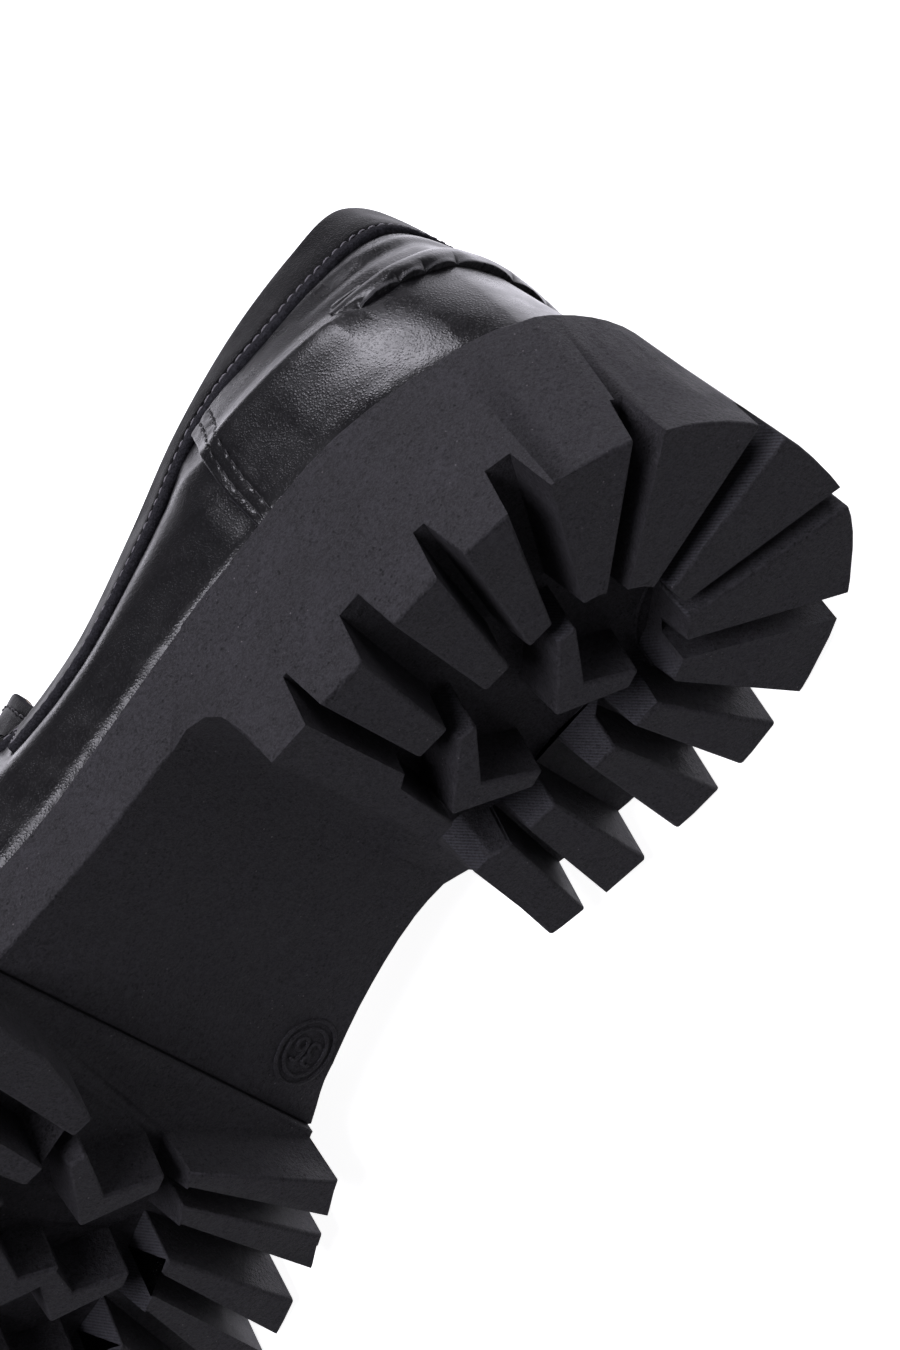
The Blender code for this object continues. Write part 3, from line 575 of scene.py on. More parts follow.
def add_piece(
    name: str,
    points: Array,
    faces: Sequence[Array],
    material: Material,
    marks: dict[str, Array] | None = None,
) -> bpy.types.Object:
    """Make a mesh of the shoe's millimetres into a piece of the frame.

    Args:
        name: The piece's name.
        points: Its vertices.
        faces: Arrays of corners, each array with one number of corners a face.
        material: Its finish.
        marks: Numbers for each vertex that the finish reads, by name.

    Returns:
        The object, riding on the shoe's body.
    """
    points = POSE.place(np.asarray(points).reshape(-1, 3))
    corners = np.concatenate([np.asarray(face).ravel() for face in faces]).astype(np.int32)
    lengths = np.concatenate([np.full(len(face), face.shape[1]) for face in faces])
    mesh = bpy.data.meshes.new(name)
    mesh.vertices.add(len(points))
    mesh.vertices.foreach_set("co", points.astype(np.float32).ravel())
    mesh.loops.add(len(corners))
    mesh.loops.foreach_set("vertex_index", corners)
    mesh.polygons.add(len(lengths))
    mesh.polygons.foreach_set("loop_start", np.concatenate([[0], np.cumsum(lengths)[:-1]]).astype(np.int32))
    mesh.update(calc_edges=True)
    mesh.validate()
    mesh.shade_smooth()
    for mark, values in (marks or {}).items():
        layer = mesh.attributes.new(mark, "FLOAT", "POINT")
        layer.data.foreach_set("value", np.asarray(values, np.float32).ravel())
    mesh.materials.append(material)
    piece = bpy.data.objects.new(name, mesh)
    bpy.context.scene.collection.objects.link(piece)
    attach(piece, "root")
    LOG.info("%s: %d faces", name, len(mesh.polygons))
    return piece


def add_wall(
    name: str,
    outer: Array,
    inner: Array,
    material: Material,
    ratio: int = 1,
    ring: bool = False,
    marks: dict[str, Array] | None = None,
) -> bpy.types.Object:
    """Make a closed wall from a fine outer grid and an inner grid.

    Args:
        name: The piece's name.
        outer: The outer face, rows by columns.
        inner: The inner face on the same grid, of which every ratio-th point is kept.
        material: Its finish.
        ratio: How much coarser the inner face is.
        ring: Whether the wall closes on itself.
        marks: Numbers on the outer grid that the finish reads; the inner face repeats them.

    Returns:
        The piece.
    """
    kept = inner[::ratio, ::ratio]
    points = np.concatenate([outer.reshape(-1, 3), kept.reshape(-1, 3)])
    values = {}
    for mark, grid in (marks or {}).items():
        values[mark] = np.concatenate([grid.ravel(), grid[::ratio, ::ratio].ravel()])
    return add_piece(name, points, shell_faces(outer.shape[:2], ratio, ring), material, values)


# ---------------------------------------------------------------- finishes


class Graph:
    """A material's nodes, with short calls for the ones that the finishes share."""

    def __init__(self, name: str) -> None:
        """Start an empty Principled material of that name.

        Args:
            name: The material's name.
        """
        self.material = bpy.data.materials.new(name)
        self.material.use_nodes = True
        self.tree = self.material.node_tree
        self.shader = self.tree.nodes["Principled BSDF"]
        self.coordinates = self.tree.nodes.new("ShaderNodeTexCoord").outputs["Object"]

    def node(self, kind: str, inputs: dict[str | int, object], **settings: object) -> bpy.types.Node:
        """Add a node.

        Args:
            kind: Its type without the ShaderNode prefix.
            inputs: Values or sockets for its inputs.
            settings: Its properties.

        Returns:
            The node.
        """
        made = self.tree.nodes.new("ShaderNode" + kind)
        for key, value in settings.items():
            setattr(made, key, value)
        for key, value in inputs.items():
            self.feed(made.inputs[key], value)
        return made

    def feed(self, socket: Socket, value: object) -> None:
        """Link a socket, or set its value."""
        if isinstance(value, bpy.types.NodeSocket):
            self.tree.links.new(value, socket)
        else:
            socket.default_value = value

    def mapped(self, turn: Sequence[float], stretch: Sequence[float]) -> Socket:
        """Object coordinates turned by degrees and stretched."""
        angles = [math.radians(a) for a in turn]
        return self.node("Mapping", {0: self.coordinates, 2: angles, 3: list(stretch)}).outputs[0]

    def noise(
        self, size: float, detail: float = 2.0, rough: float = 0.5, place: Socket | None = None
    ) -> Socket:
        """Noise in 0..1 whose blotches are about size millimetres."""
        inputs = {"Vector": place or self.coordinates, "Scale": 1.0 / (size * MM)}
        return self.node("TexNoise", inputs | {"Detail": detail, "Roughness": rough}).outputs["Fac"]

    def cells(self, size: float, place: Socket | None = None) -> Socket:
        """Distance to the middle of the nearest of cells of about size millimetres."""
        inputs = {"Vector": place or self.coordinates, "Scale": 1.0 / (size * MM)}
        return self.node("TexVoronoi", inputs).outputs["Distance"]

    def spread(self, value: Socket, low: float, high: float, start: float = 0.0, end: float = 1.0) -> Socket:
        """Map low..high smoothly to start..end."""
        inputs = {"Value": value, "From Min": low, "From Max": high, "To Min": start, "To Max": end}
        return self.node("MapRange", inputs, interpolation_type="SMOOTHSTEP").outputs[0]

    def math(self, operation: str, a: object, b: object) -> Socket:
        """One Math node."""
        return self.node("Math", {0: a, 1: b}, operation=operation).outputs[0]

    def mixed(self, share: object, a: object, b: object) -> Socket:
        """A colour between two."""
        return self.node("Mix", {0: share, 6: a, 7: b}, data_type="RGBA").outputs[2]

    def mark(self, name: str) -> Socket:
        """A number stored on the vertices."""
        return self.node("Attribute", {}, attribute_name=name).outputs["Fac"]

    def bump(self, height: Socket, depth: float, below: Socket | None = None) -> Socket:
        """A bump of that depth in millimetres, over another bump.

        Args:
            height: What stands up.
            depth: How far a height of 1 stands up, in millimetres.
            below: The normal that this one is laid over.

        Returns:
            The normal.
        """
        inputs = {"Height": height, "Distance": depth * MM, "Strength": 1.0}
        if below is not None:
            inputs["Normal"] = below
        return self.node("Bump", inputs).outputs[0]

    def finish(self, **inputs: object) -> Material:
        """Set the shader's inputs, named with underscores for spaces."""
        for key, value in inputs.items():
            self.feed(self.shader.inputs[key.replace("_", " ")], value)
        return self.material


def grey(value: float, warm: float = 0.0) -> tuple[float, float, float, float]:
    """A black or grey with a cool violet cast, redder for a positive warm."""
    return (value * (1.02 + warm), value * 0.97, value * (1.1 - warm), 1.0)


@dataclass(frozen=True)
class Leather:
    """Finished hide: pebbled grain over soft swells, with painted shade in the grain's valleys, and raw cut
    edges.
    """

    name: str
    tone: float = 0.0085
    roughness: float = 0.29
    grain: float = 0.36
    grain_depth: float = 0.017
    swell_depth: float = 0.10
    raw_tone: float = 0.085
    shine: float = 0.5

    def build(self) -> Material:
        """Make the material; the vertex mark raw turns it into cut fibres, and the other mark paints shade:
        it darkens the hide towards black in gaps, slits, slots and needle holes.

        Returns:
            The material.
        """
        g = Graph(self.name)
        wander = g.node("VectorMath", {0: g.coordinates}, operation="ADD")
        drift = g.node("TexNoise", {"Vector": g.coordinates, "Scale": 1500.0, "Detail": 1.0})
        pull = g.node("VectorMath", {0: drift.outputs["Color"], "Scale": 0.00016}, operation="SCALE")
        g.tree.links.new(pull.outputs[0], wander.inputs[1])
        pebbles = g.spread(g.cells(self.grain, wander.outputs[0]), 0.08, 0.62, 1.0, 0.0)
        fine = g.noise(0.2, 2.0, 0.6)
        swell = g.noise(6.0, 2.0, 0.5)
        raw = g.mark("raw")
        painted_shade = g.mark("painted_shade")
        fibres = g.noise(0.3, 4.0, 0.75)
        normal = g.bump(swell, self.swell_depth)
        normal = g.bump(pebbles, self.grain_depth, normal)
        normal = g.bump(fine, 0.012, normal)
        normal = g.bump(g.math("MULTIPLY", fibres, raw), 0.3, normal)
        mottle = g.spread(g.noise(11.0, 3.0), 0.35, 0.7)
        hide = g.mixed(mottle, grey(self.tone * 0.8, -0.03), grey(self.tone * 1.25, 0.02))
        # painted shade: the valleys between the pebbles are darkened
        hide = g.mixed(g.spread(pebbles, 0.0, 0.4, 0.5, 0.0), hide, grey(self.tone * 0.25))
        lit = g.spread(fibres, 0.3, 0.72)
        cut = g.mixed(lit, grey(self.raw_tone * 0.3, -0.02), grey(self.raw_tone, -0.04))
        # painted shade: the shade mark darkens the hide to near black in gaps, slits, slots and needle holes
        colour = g.mixed(painted_shade, g.mixed(raw, hide, cut), grey(0.0008))
        gloss = g.spread(g.noise(5.0, 3.0, 0.6), 0.3, 0.75, self.roughness - 0.04, self.roughness + 0.06)
        gloss = g.math("ADD", gloss, g.math("MULTIPLY", g.math("MAXIMUM", raw, painted_shade), 0.5))
        g.finish(Base_Color=colour, Roughness=gloss, Normal=normal)
        return g.finish(IOR=1.5, Specular_IOR_Level=self.shine)


@dataclass(frozen=True)
class Rubber:
    """Moulded rubber: matte, with pores darkened by painted shade, a fine speckle, dust, faint streaks along
    the sole, and painted highlights in fine lines on the inner lugs' end walls.
    """

    name: str
    tone: float = 0.0205
    roughness: float = 0.64
    rib_pitch: float = 0.42
    rib_way: tuple[float, float] = (0.76, 0.65)

    def build(self) -> Material:
        """Make the material from noises in the object's own coordinates.

        Returns:
            The material.
        """
        g = Graph(self.name)
        along = g.mapped((0.0, 0.0, 10.3), (0.14, 1.0, 1.0))
        streak = g.spread(g.noise(1.0, 4.0, 0.65, along), 0.5, 0.72)
        cloud = g.spread(g.noise(7.0, 5.0, 0.66), 0.3, 0.72)
        dust = g.spread(g.cells(1.5), 0.10, 0.05)
        patch = g.spread(g.noise(13.0, 3.0, 0.6), 0.5, 0.62)
        pores = g.spread(g.cells(0.9), 0.12, 0.3)
        pitted_patch = g.spread(g.noise(4.0, 4.0, 0.7), 0.46, 0.60)
        shaded_pits = g.math("MULTIPLY", g.math("SUBTRACT", 1.0, pores), pitted_patch)
        fine = g.noise(0.3, 4.0, 0.8)
        sand = g.noise(0.75, 3.0, 0.7)
        rib_highlight = self.rib_highlight(g)
        colour = g.mixed(cloud, grey(self.tone * 0.5, 0.02), grey(self.tone * 1.5, -0.01))
        colour = g.mixed(g.math("MULTIPLY", streak, 0.3), colour, grey(self.tone * 2.2, -0.02))
        colour = g.mixed(g.spread(sand, 0.34, 0.62, 0.85, 0.0), colour, grey(self.tone * 0.2))
        colour = g.mixed(g.spread(fine, 0.36, 0.68, 0.0, 0.65), colour, grey(self.tone * 2.6))
        # painted shade: the pits are darkened
        colour = g.mixed(g.math("MULTIPLY", shaded_pits, 0.9), colour, grey(self.tone * 0.15))
        colour = g.mixed(g.math("MULTIPLY", g.math("MULTIPLY", dust, patch), 0.8), colour, grey(0.16, 0.06))
        rib_highlights = g.math("MULTIPLY", rib_highlight, g.spread(fine, 0.3, 0.6, 0.3, 0.9))
        # painted highlight: lighter, bluish lines on the end walls that face the outer side
        colour = g.mixed(rib_highlights, colour, grey(0.06, -0.06))
        normal = g.bump(cloud, 0.03)
        normal = g.bump(g.math("SUBTRACT", 1.0, shaded_pits), 0.07, normal)
        normal = g.bump(sand, 0.3, normal)
        normal = g.bump(fine, 0.13, normal)
        rough = g.spread(cloud, 0.0, 1.0, self.roughness - 0.05, self.roughness + 0.08)
        return g.finish(Base_Color=colour, Roughness=rough, Normal=normal, IOR=1.5, Specular_IOR_Level=0.3)

    def rib_highlight(self, g: Graph) -> Socket:
        """Shares of 0 to 1 of a painted highlight, laid as fine lines on the inner lugs' end walls, which
        face the outer side.

        Args:
            g: The rubber's graph.

        Returns:
            The shares.
        """
        facing = g.tree.nodes.new("ShaderNodeTexCoord").outputs["Normal"]
        turned = g.node("SeparateXYZ", {0: facing}).outputs[2]
        placed = g.node("SeparateXYZ", {0: g.coordinates})
        along, across = (g.math("MULTIPLY", placed.outputs[k], self.rib_way[k]) for k in (0, 1))
        slope = g.math("ADD", along, across)
        wave = g.math("SINE", g.math("MULTIPLY", slope, 2 * math.pi / (self.rib_pitch * MM)), 0.0)
        where = g.math("MULTIPLY", g.spread(turned, 0.86, 0.95), g.spread(placed.outputs[2], 0.052, 0.046))
        return g.math("MULTIPLY", g.spread(wave, -0.6, 0.8), where)


@dataclass(frozen=True)
class Thread:
    """Waxed thread: two plies that wind round the stitch."""

    name: str
    tone: float = 0.016
    roughness: float = 0.5

    def build(self) -> Material:
        """Make the material; its plies are waves across the object's own coordinates.

        Returns:
            The material.
        """
        g = Graph(self.name)
        ply = g.noise(0.18, 2.0, 0.6)
        colour = g.mixed(ply, grey(self.tone * 0.6), grey(self.tone * 1.7))
        return g.finish(Base_Color=colour, Roughness=self.roughness, Normal=g.bump(ply, 0.05), IOR=1.45)


@dataclass(frozen=True)
class Sock:
    """Soft lining leather: pale brown, close grain, with darker blotches."""

    name: str
    tone: tuple[float, float, float] = (0.17, 0.125, 0.085)

    def build(self) -> Material:
        """Make the material.

        Returns:
            The material.
        """
        g = Graph(self.name)
        dark = tuple(0.72 * c for c in self.tone) + (1.0,)
        light = tuple(1.15 * c for c in self.tone) + (1.0,)
        colour = g.mixed(g.spread(g.noise(8.0, 4.0, 0.6), 0.3, 0.7), dark, light)
        normal = g.bump(g.cells(0.5), 0.04)
        normal = g.bump(g.noise(6.0), 0.12, normal)
        rough = g.spread(g.noise(3.0), 0.3, 0.7, 0.52, 0.66)
        return g.finish(Base_Color=colour, Roughness=rough, Normal=normal, IOR=1.45)


# ---------------------------------------------------------------- stitching


@dataclass(frozen=True)
class Stitch:
    """A run of stitches: short capsules, high in the middle, whose ends dive into the leather."""

    length: float = 1.9
    pitch: float = 2.4
    radius: float = 0.26
    slant: float = 0.0
    lift: float = 0.12
    sink: float = 0.35

    def along(self, at: Array, up: Array, distance: Array) -> tuple[Array, Array, Array]:
        """Lay stitches along a path on the last.

        Args:
            at: The path's parameters round the sole.
            up: Its parameters along the ribs.
            distance: Its distance outside the upper.

        Returns:
            Middles, directions and normals, a row for each stitch.
        """
        points = LAST.off(at, up, distance)
        reached = run_lengths(points)
        count = max(2, int(reached[-1] / self.pitch))
        places = (np.arange(count) + 0.5) * self.pitch

        def read(lengths: Array) -> Array:
            """Points of the path at those lengths along it."""
            return np.column_stack([np.interp(lengths, reached, points[:, k]) for k in range(3)])

        middles = read(places)
        normals = LAST.ways(np.interp(places, reached, at), np.interp(places, reached, up))[2]
        ways = unit(read(places + 0.3) - read(places - 0.3))
        side = np.cross(normals, ways)
        angle = math.radians(self.slant)
        return middles, unit(ways * math.cos(angle) + side * math.sin(angle)), normals

    def mesh(self, middles: Array, ways: Array, normals: Array) -> tuple[Array, list[Array]]:
        """Capsules as one mesh: rings of six points at shares s of the half length, at height lift(1-s^2)
        less sink s^4, with radius (1-s^4)^(1/2), and a point at each end.

        Args:
            middles: A row for each stitch.
            ways: Unit directions.
            normals: Unit normals of the leather.

        Returns:
            Points and faces.
        """
        shares = np.array([-0.97, -0.8, -0.4, 0.4, 0.8, 0.97])
        angles = np.arange(6) * math.pi / 3
        side = np.cross(ways, normals)
        height = self.lift * (1 - shares**2) - self.sink * shares**4
        spine = (
            middles[:, None]
            + ways[:, None] * (shares * self.length / 2)[None, :, None]
            + normals[:, None] * height[None, :, None]
        )
        ring = (
            side[:, None, None] * np.cos(angles)[None, None, :, None]
            + normals[:, None, None] * np.sin(angles)[None, None, :, None]
        )
        radius = self.radius * np.sqrt(1 - shares**4)
        body = spine[:, :, None] + ring * radius[None, :, None, None]
        count = len(middles)
        tips = [
            middles + ways * (sign * self.length / 2)[..., None] - normals * self.sink
            for sign in (np.full(count, -1.0), np.full(count, 1.0))
        ]
        points = np.concatenate([body.reshape(count, -1, 3), tips[0][:, None], tips[1][:, None]], axis=1)
        each = points.shape[1]
        quads = tube_faces(len(shares), 6, False)[0]
        turn = np.arange(6)
        first = np.column_stack([np.full(6, each - 2), (turn + 1) % 6, turn])
        end = (len(shares) - 1) * 6
        last = np.column_stack([np.full(6, each - 1), end + turn, end + (turn + 1) % 6])
        bases = np.arange(count)[:, None, None] * each
        parts = (quads, np.concatenate([first, last]))
        return points.reshape(-1, 3), [(part[None] + bases).reshape(-1, part.shape[1]) for part in parts]


Run = tuple[Stitch, Array, Array, Array]


def sew(name: str, runs: Sequence[Run], material: Material) -> bpy.types.Object:
    """Join several runs of stitches into one piece.

    Args:
        name: The piece's name.
        runs: Each run's stitch, at, up and distance.
        material: The thread.

    Returns:
        The piece.
    """
    points: list[Array] = []
    faces: list[Array] = []
    base = 0
    for stitch, at, up, distance in runs:
        made, parts = stitch.mesh(*stitch.along(at, up, distance))
        faces += [part + base for part in parts]
        points.append(made)
        base += len(made)
    return add_piece(name, np.concatenate(points), faces, material)


# ---------------------------------------------------------------- the upper


SMOOTH_HIDE = Leather("smooth_hide", tone=0.006, roughness=0.45, grain_depth=0.03, raw_tone=0.05, shine=0.06)


@dataclass
class Finishes:
    """The materials that the pieces share."""

    hide: Material = field(default_factory=lambda: Leather("black_hide").build())
    smooth_hide: Material = field(default_factory=lambda: SMOOTH_HIDE.build())
    rubber: Material = field(default_factory=lambda: Rubber("moulded_rubber").build())
    thread: Material = field(default_factory=lambda: Thread("waxed_thread").build())
    light_thread: Material = field(default_factory=lambda: Thread("collar_thread", tone=0.13).build())
    lining: Material = field(default_factory=lambda: Sock("lining_leather").build())


ROUND_CREASES = (
    # start at, start up, end at, end up, bow, half width, height of soft folds that run round the shoe
    (-0.085, 0.685, 0.105, 0.692, -0.028, 1.5, 0.30),
    (0.026, 0.655, 0.090, 0.575, 0.004, 1.3, -0.34),
    (-0.080, 0.580, -0.020, 0.655, -0.004, 1.3, -0.30),
    (-0.050, 0.630, 0.052, 0.640, 0.010, 1.0, -0.26),
    (-0.045, 0.715, 0.055, 0.712, 0.012, 0.9, -0.18),
    (0.39, 0.66, 0.47, 0.63, 0.02, 3.0, -0.5),
    (0.40, 0.60, 0.50, 0.57, -0.02, 2.6, -0.45),
    (0.50, 0.57, 0.60, 0.60, -0.02, 2.6, -0.45),
    (0.52, 0.63, 0.61, 0.66, 0.02, 3.0, -0.5),
)
HEEL_RIDGE = (
    # at, up, height of the ridge that the kicker runs out into
    (0.078, 0.412, 1.05),
    (0.084, 0.372, 1.20),
    (0.090, 0.376, 1.25),
    (0.098, 0.390, 1.20),
    (0.104, 0.405, 1.15),
    (0.110, 0.420, 1.10),
    (0.118, 0.436, 1.00),
    (0.124, 0.460, 0.80),
    (0.132, 0.525, 0.45),
    (0.140, 0.600, 0.0),
)
SIDE_SEAM = (
    # up, at
    (0.0, 0.1266),
    (0.05, 0.1268),
    (0.17, 0.1273),
    (0.28, 0.1271),
    (0.43, 0.1264),
    (0.73, 0.1254),
    (1.0, 0.1247),
)
BAND_EDGE = (
    # at from the back of the heel to either side, up of the band's lower edge
    (0.0, 0.750),
    (0.045, 0.745),
    (0.060, 0.748),
    (0.072, 0.736),
    (0.083, 0.725),
    (0.091, 0.714),
    (0.098, 0.716),
    (0.105, 0.746),
    (0.112, 0.785),
    (0.124, 0.815),
    (0.134, 0.780),
    (0.142, 0.735),
    (0.152, 0.693),
    (0.164, 0.656),
    (0.176, 0.610),
    (0.190, 0.580),
    (0.205, 0.600),
)


BAND_BEAD = (
    # millimetres above the band's lower edge, distance out, raw
    (-0.02, -0.75, 1.0),
    (0.0, 0.0, 1.0),
    (0.05, 0.30, 1.0),
    (0.18, 0.48, 1.0),
    (0.45, 0.58, 0.9),
    (0.80, 0.62, 0.6),
    (1.15, 0.58, 0.5),
    (1.42, 0.40, 0.8),
    (1.62, 0.22, 0.5),
    (1.84, 0.36, 0.1),
    (2.10, 0.50, 0.0),
    (2.60, 0.58, 0.0),
)
BAND_STRIP = (
    # share of the way from the bead to the rim, distance out
    (0.25, 0.60),
    (0.50, 0.60),
    (0.75, 0.56),
    (0.92, 0.52),
)
BAND_LINING = (
    # millimetres below the rim, distance inside the wall, raw
    (2.2, 0.45, 0.0),
    (4.0, 0.50, 0.0),
    (6.2, 0.42, 0.6),
    (6.4, 0.10, 1.0),
)


@dataclass
class Upper:
    """Rear quarter, front with its apron seam, lining and collar binding."""

    finishes: Finishes
    medial_seam_shift: float = -0.0022
    panel: float = 1.15
    deepest: float = 1.3
    lap: float = 0.55
    first_row: tuple[float, float] = (1.25, 1.4)
    second_row: tuple[float, float] = (2.9, 2.2)
    row_depth: float = 0.07
    hole_radius: float = 0.24
    hole_depth: float = 0.2
    fold_radius: float = 0.45
    seam_pitch: float = 2.3
    band_depth: float = 0.5
    groove_up: float = 1.62
    throat_band: float = 3.6
    ridge_widths: tuple[float, float] = (2.7, 4.6)
    ridge_start: tuple[float, float] = (0.0762, 0.0865)
    side_fall: float = 0.85
    fall_width: float = 7.0
    strap_at: float = 0.215
    slit: tuple[float, float, float] = (0.0730, 0.0822, 0.494)
    slit_bow: float = 0.006
    slit_half: float = 0.42
    slit_sunk: float = 0.95
    apron_half_width: float = 26.0
    apron_middle_x: float = 168.0
    apron_toe_x: float = 229.0
    apron_power: float = 2.3
    apron_back_x: float = 112.0
    gather_pitch: float = 4.6
    sole_round: float = 640.0
    plain_up: float = 0.62
    tuck: float = 0.006
    rear_grid: tuple[int, int] = (521, 173)
    front_grid: tuple[int, int] = (601, 72)
    lining_grid: tuple[int, int] = (320, 49)

    def __post_init__(self) -> None:
        """Measure the side seam, for the places of its stitch holes."""
        self.seam_ups = np.linspace(0.0, 1.0, 240)
        line = LAST.on(self.seam(self.seam_ups), self.seam_ups)
        self.seam_reached = run_lengths(line)

    def seam(self, up: Array) -> Array:
        """at of the outer side seam, from its table."""
        table = np.array(SIDE_SEAM)
        return np.interp(up, table[:, 0], table[:, 1])

    def medial_seam(self, up: Array) -> Array:
        """at of the inner side seam, the outer one's mirror image."""
        return 1.0 - self.seam(up) + self.medial_seam_shift

    def creases(self, at: Array, up: Array, length: Array) -> Array:
        """Heights of the soft folds: each follows its line from start to end, bowed by bow of up, and fades
        at its ends.

        Args:
            at: Parameters round the sole.
            up: Parameters along the ribs.
            length: Millimetres per unit of up.

        Returns:
            Millimetres outwards.
        """
        total = np.zeros(at.shape)
        for start_at, start_up, end_at, end_up, bow, half, height in ROUND_CREASES:
            share = (at - start_at) / (end_at - start_at)
            inside = np.clip(share, 0.0, 1.0)
            middle = start_up + (end_up - start_up) * inside + bow * 4 * inside * (1 - inside)
            total += height * bell((up - middle) * length, half) * np.sin(inside * math.pi) ** 0.8
        return total

    def feather_wrinkles(self, at: Array, rise: Array, points: Array) -> Array:
        """A low roll with fine puckers where the hide is drawn in over the sole, strongest ahead of the side
        seams.

        Args:
            at: Parameters round the sole.
            rise: Millimetres above the feather line.
            points: The places on the last, in millimetres.

        Returns:
            Millimetres out from the last.
        """
        strength = 0.35 + 0.65 * smooth_step(at, 0.11, 0.14) * smooth_step(at, 0.9, 0.86)
        wave = soft_noise(points * np.array([1.0, 1.0, 0.35]), 1.9, 11, 22)
        broad = soft_noise(points, 5.0, 12)
        fine = 0.05 * wave * bell(rise, 1.5) + 0.03 * broad * bell(rise, 2.6)
        return strength * (0.32 * bell(rise - 1.3, 1.5) + fine)

    def seam_edge(self, at: Array, up: Array) -> Array:
        """Millimetres from the nearer side seam, into the rear quarter; at runs through 0 at the heel."""
        scale = LAST.round_scale(at, up)
        return np.minimum((self.seam(up) - at) * scale, (at - (self.medial_seam(up) - 1.0)) * scale)

    def holes(self, edge: Array, up: Array) -> Array:
        """Shares of 0 to 1 that mark the needle holes of both stitch rows, one to a pitch.

        Args:
            edge: Millimetres from the seam's edge.
            up: Parameters along the ribs.

        Returns:
            The shares.
        """
        step = np.interp(up, self.seam_ups, self.seam_reached) / self.seam_pitch
        beat = (0.5 + 0.5 * np.cos(2 * math.pi * step)) ** 9
        return self.stitch_rows(edge, up, self.hole_radius) * beat * smooth_step(edge, 0.0, 0.3)

    def stitch_rows(self, edge: Array, up: Array, half: float) -> Array:
        """Two lines beside the side seam, as bells of that half width: each row's distance from the seam
        grows with up.

        Args:
            edge: Millimetres from the seam's edge.
            up: Parameters along the ribs.
            half: Half the width of each line.

        Returns:
            Shares of 0 to 1.
        """
        return sum(bell(edge - near - grow * up, half) for near, grow in (self.first_row, self.second_row))

    def slit_depth(self, at: Array, up: Array, length: Array) -> Array:
        """Shares of 0 to 1 inside the slit where the kicker's top edge leaves the quarter.

        Args:
            at: Parameters round the sole.
            up: Parameters along the ribs.
            length: Millimetres to one unit of up, at each place.

        Returns:
            The shares.
        """
        start, end, level = self.slit
        share = np.clip((at - start) / (end - start), 0.0, 1.0)
        arch = np.sin(share * math.pi)
        return bell((up - level + self.slit_bow * arch) * length, self.slit_half) * arch**0.7

    def rear_distance(self, at: Array, up: Array) -> Array:
        """Outer face of the rear quarter: the last, lifted where it laps over the front, pulled down along
        its two stitch rows, folded in at its edge, and raised to a ridge ahead of the kicker.

        Args:
            at: Parameters round the sole.
            up: Parameters along the ribs.

        Returns:
            Millimetres out from the last.
        """
        points = LAST.on(at, up)
        length = LAST.up_scale(at, up)
        edge = self.seam_edge(at, up)
        lifted = self.lap * smooth_step(edge, 13.0, 3.4)
        swell = 0.05 * bell(edge - 0.35, 0.3)
        pucker = 0.04 * soft_noise(points, 2.4, 3) * bell(edge - 2.6, 2.4)
        below = (self.band_edge(at) - up) * length
        under_band = self.proud(at) * self.band_depth * smooth_step(below, 1.5, -0.3)
        return (
            lifted
            - self.row_depth * self.stitch_rows(edge, up, 0.34)
            + swell * smooth_step(below, 0.0, 2.0)
            + pucker
            - round_off(edge, self.fold_radius)
            + self.ridge(at, up, length)
            - under_band
            - self.hole_depth * self.holes(edge, up)
            - self.slit_sunk * self.slit_depth(at, up, length)
            + 0.07 * soft_noise(points, 24.0, 5)
            + self.creases(at, up, length)
            + self.feather_wrinkles(np.mod(at, 1.0), up * length, points)
        )

    def ridge(self, at: Array, up: Array, length: Array) -> Array:
        """Height of the soft ridge ahead of the kicker: steep on its collar side, long on its sole side.

        Args:
            at: Parameters round the sole.
            up: Parameters along the ribs.
            length: Millimetres to one unit of up, at each place.

        Returns:
            Millimetres out from the last.
        """
        near = from_heel(at)
        table = np.array(HEEL_RIDGE)
        height = np.interp(near, table[:, 0], table[:, 2], left=0.0) * smooth_step(near, *self.ridge_start)
        across = (up - np.interp(near, table[:, 0], table[:, 1])) * length
        high, low = (bell(across, width) for width in self.ridge_widths)
        return height * np.where(across > 0, high, low)

    def build_rear(self) -> bpy.types.Object:
        """The rear quarter, in one piece round the heel, on a grid that is finer beside its two edges.

        Returns:
            The piece.
        """
        share = np.linspace(0.0, 1.0, self.rear_grid[0])
        crowd = share - 0.055 * np.sin(2 * math.pi * share)
        up_share = np.linspace(0.0, 1.0, self.rear_grid[1])
        up = np.broadcast_to(up_share * (1.0 + self.tuck) - self.tuck, self.rear_grid)
        low = self.medial_seam(up) - 1.0
        at = low + (self.seam(up) - low) * crowd[:, None]
        distance = self.rear_distance(at, up)
        length = LAST.up_scale(at, up)
        edge = self.seam_edge(at, up)
        # painted shade, kept in a vertex mark: the needle holes, the slit over the kicker and the gap under
        # the collar band are darkened
        painted_shade = np.maximum(0.7 * self.holes(edge, up), self.slit_depth(at, up, length))
        painted_shade = np.maximum(painted_shade, self.band_gap_shadow(at, up, length))
        raw = smooth_step(edge, 0.22, 0.02)
        outer = LAST.off(at, up, distance)
        inner = LAST.off(at, up, np.maximum(distance - self.panel, -self.deepest))
        marks = {"raw": raw, "painted_shade": painted_shade}
        return add_wall("quarter_rear", outer, inner, self.finishes.hide, ratio=4, marks=marks)

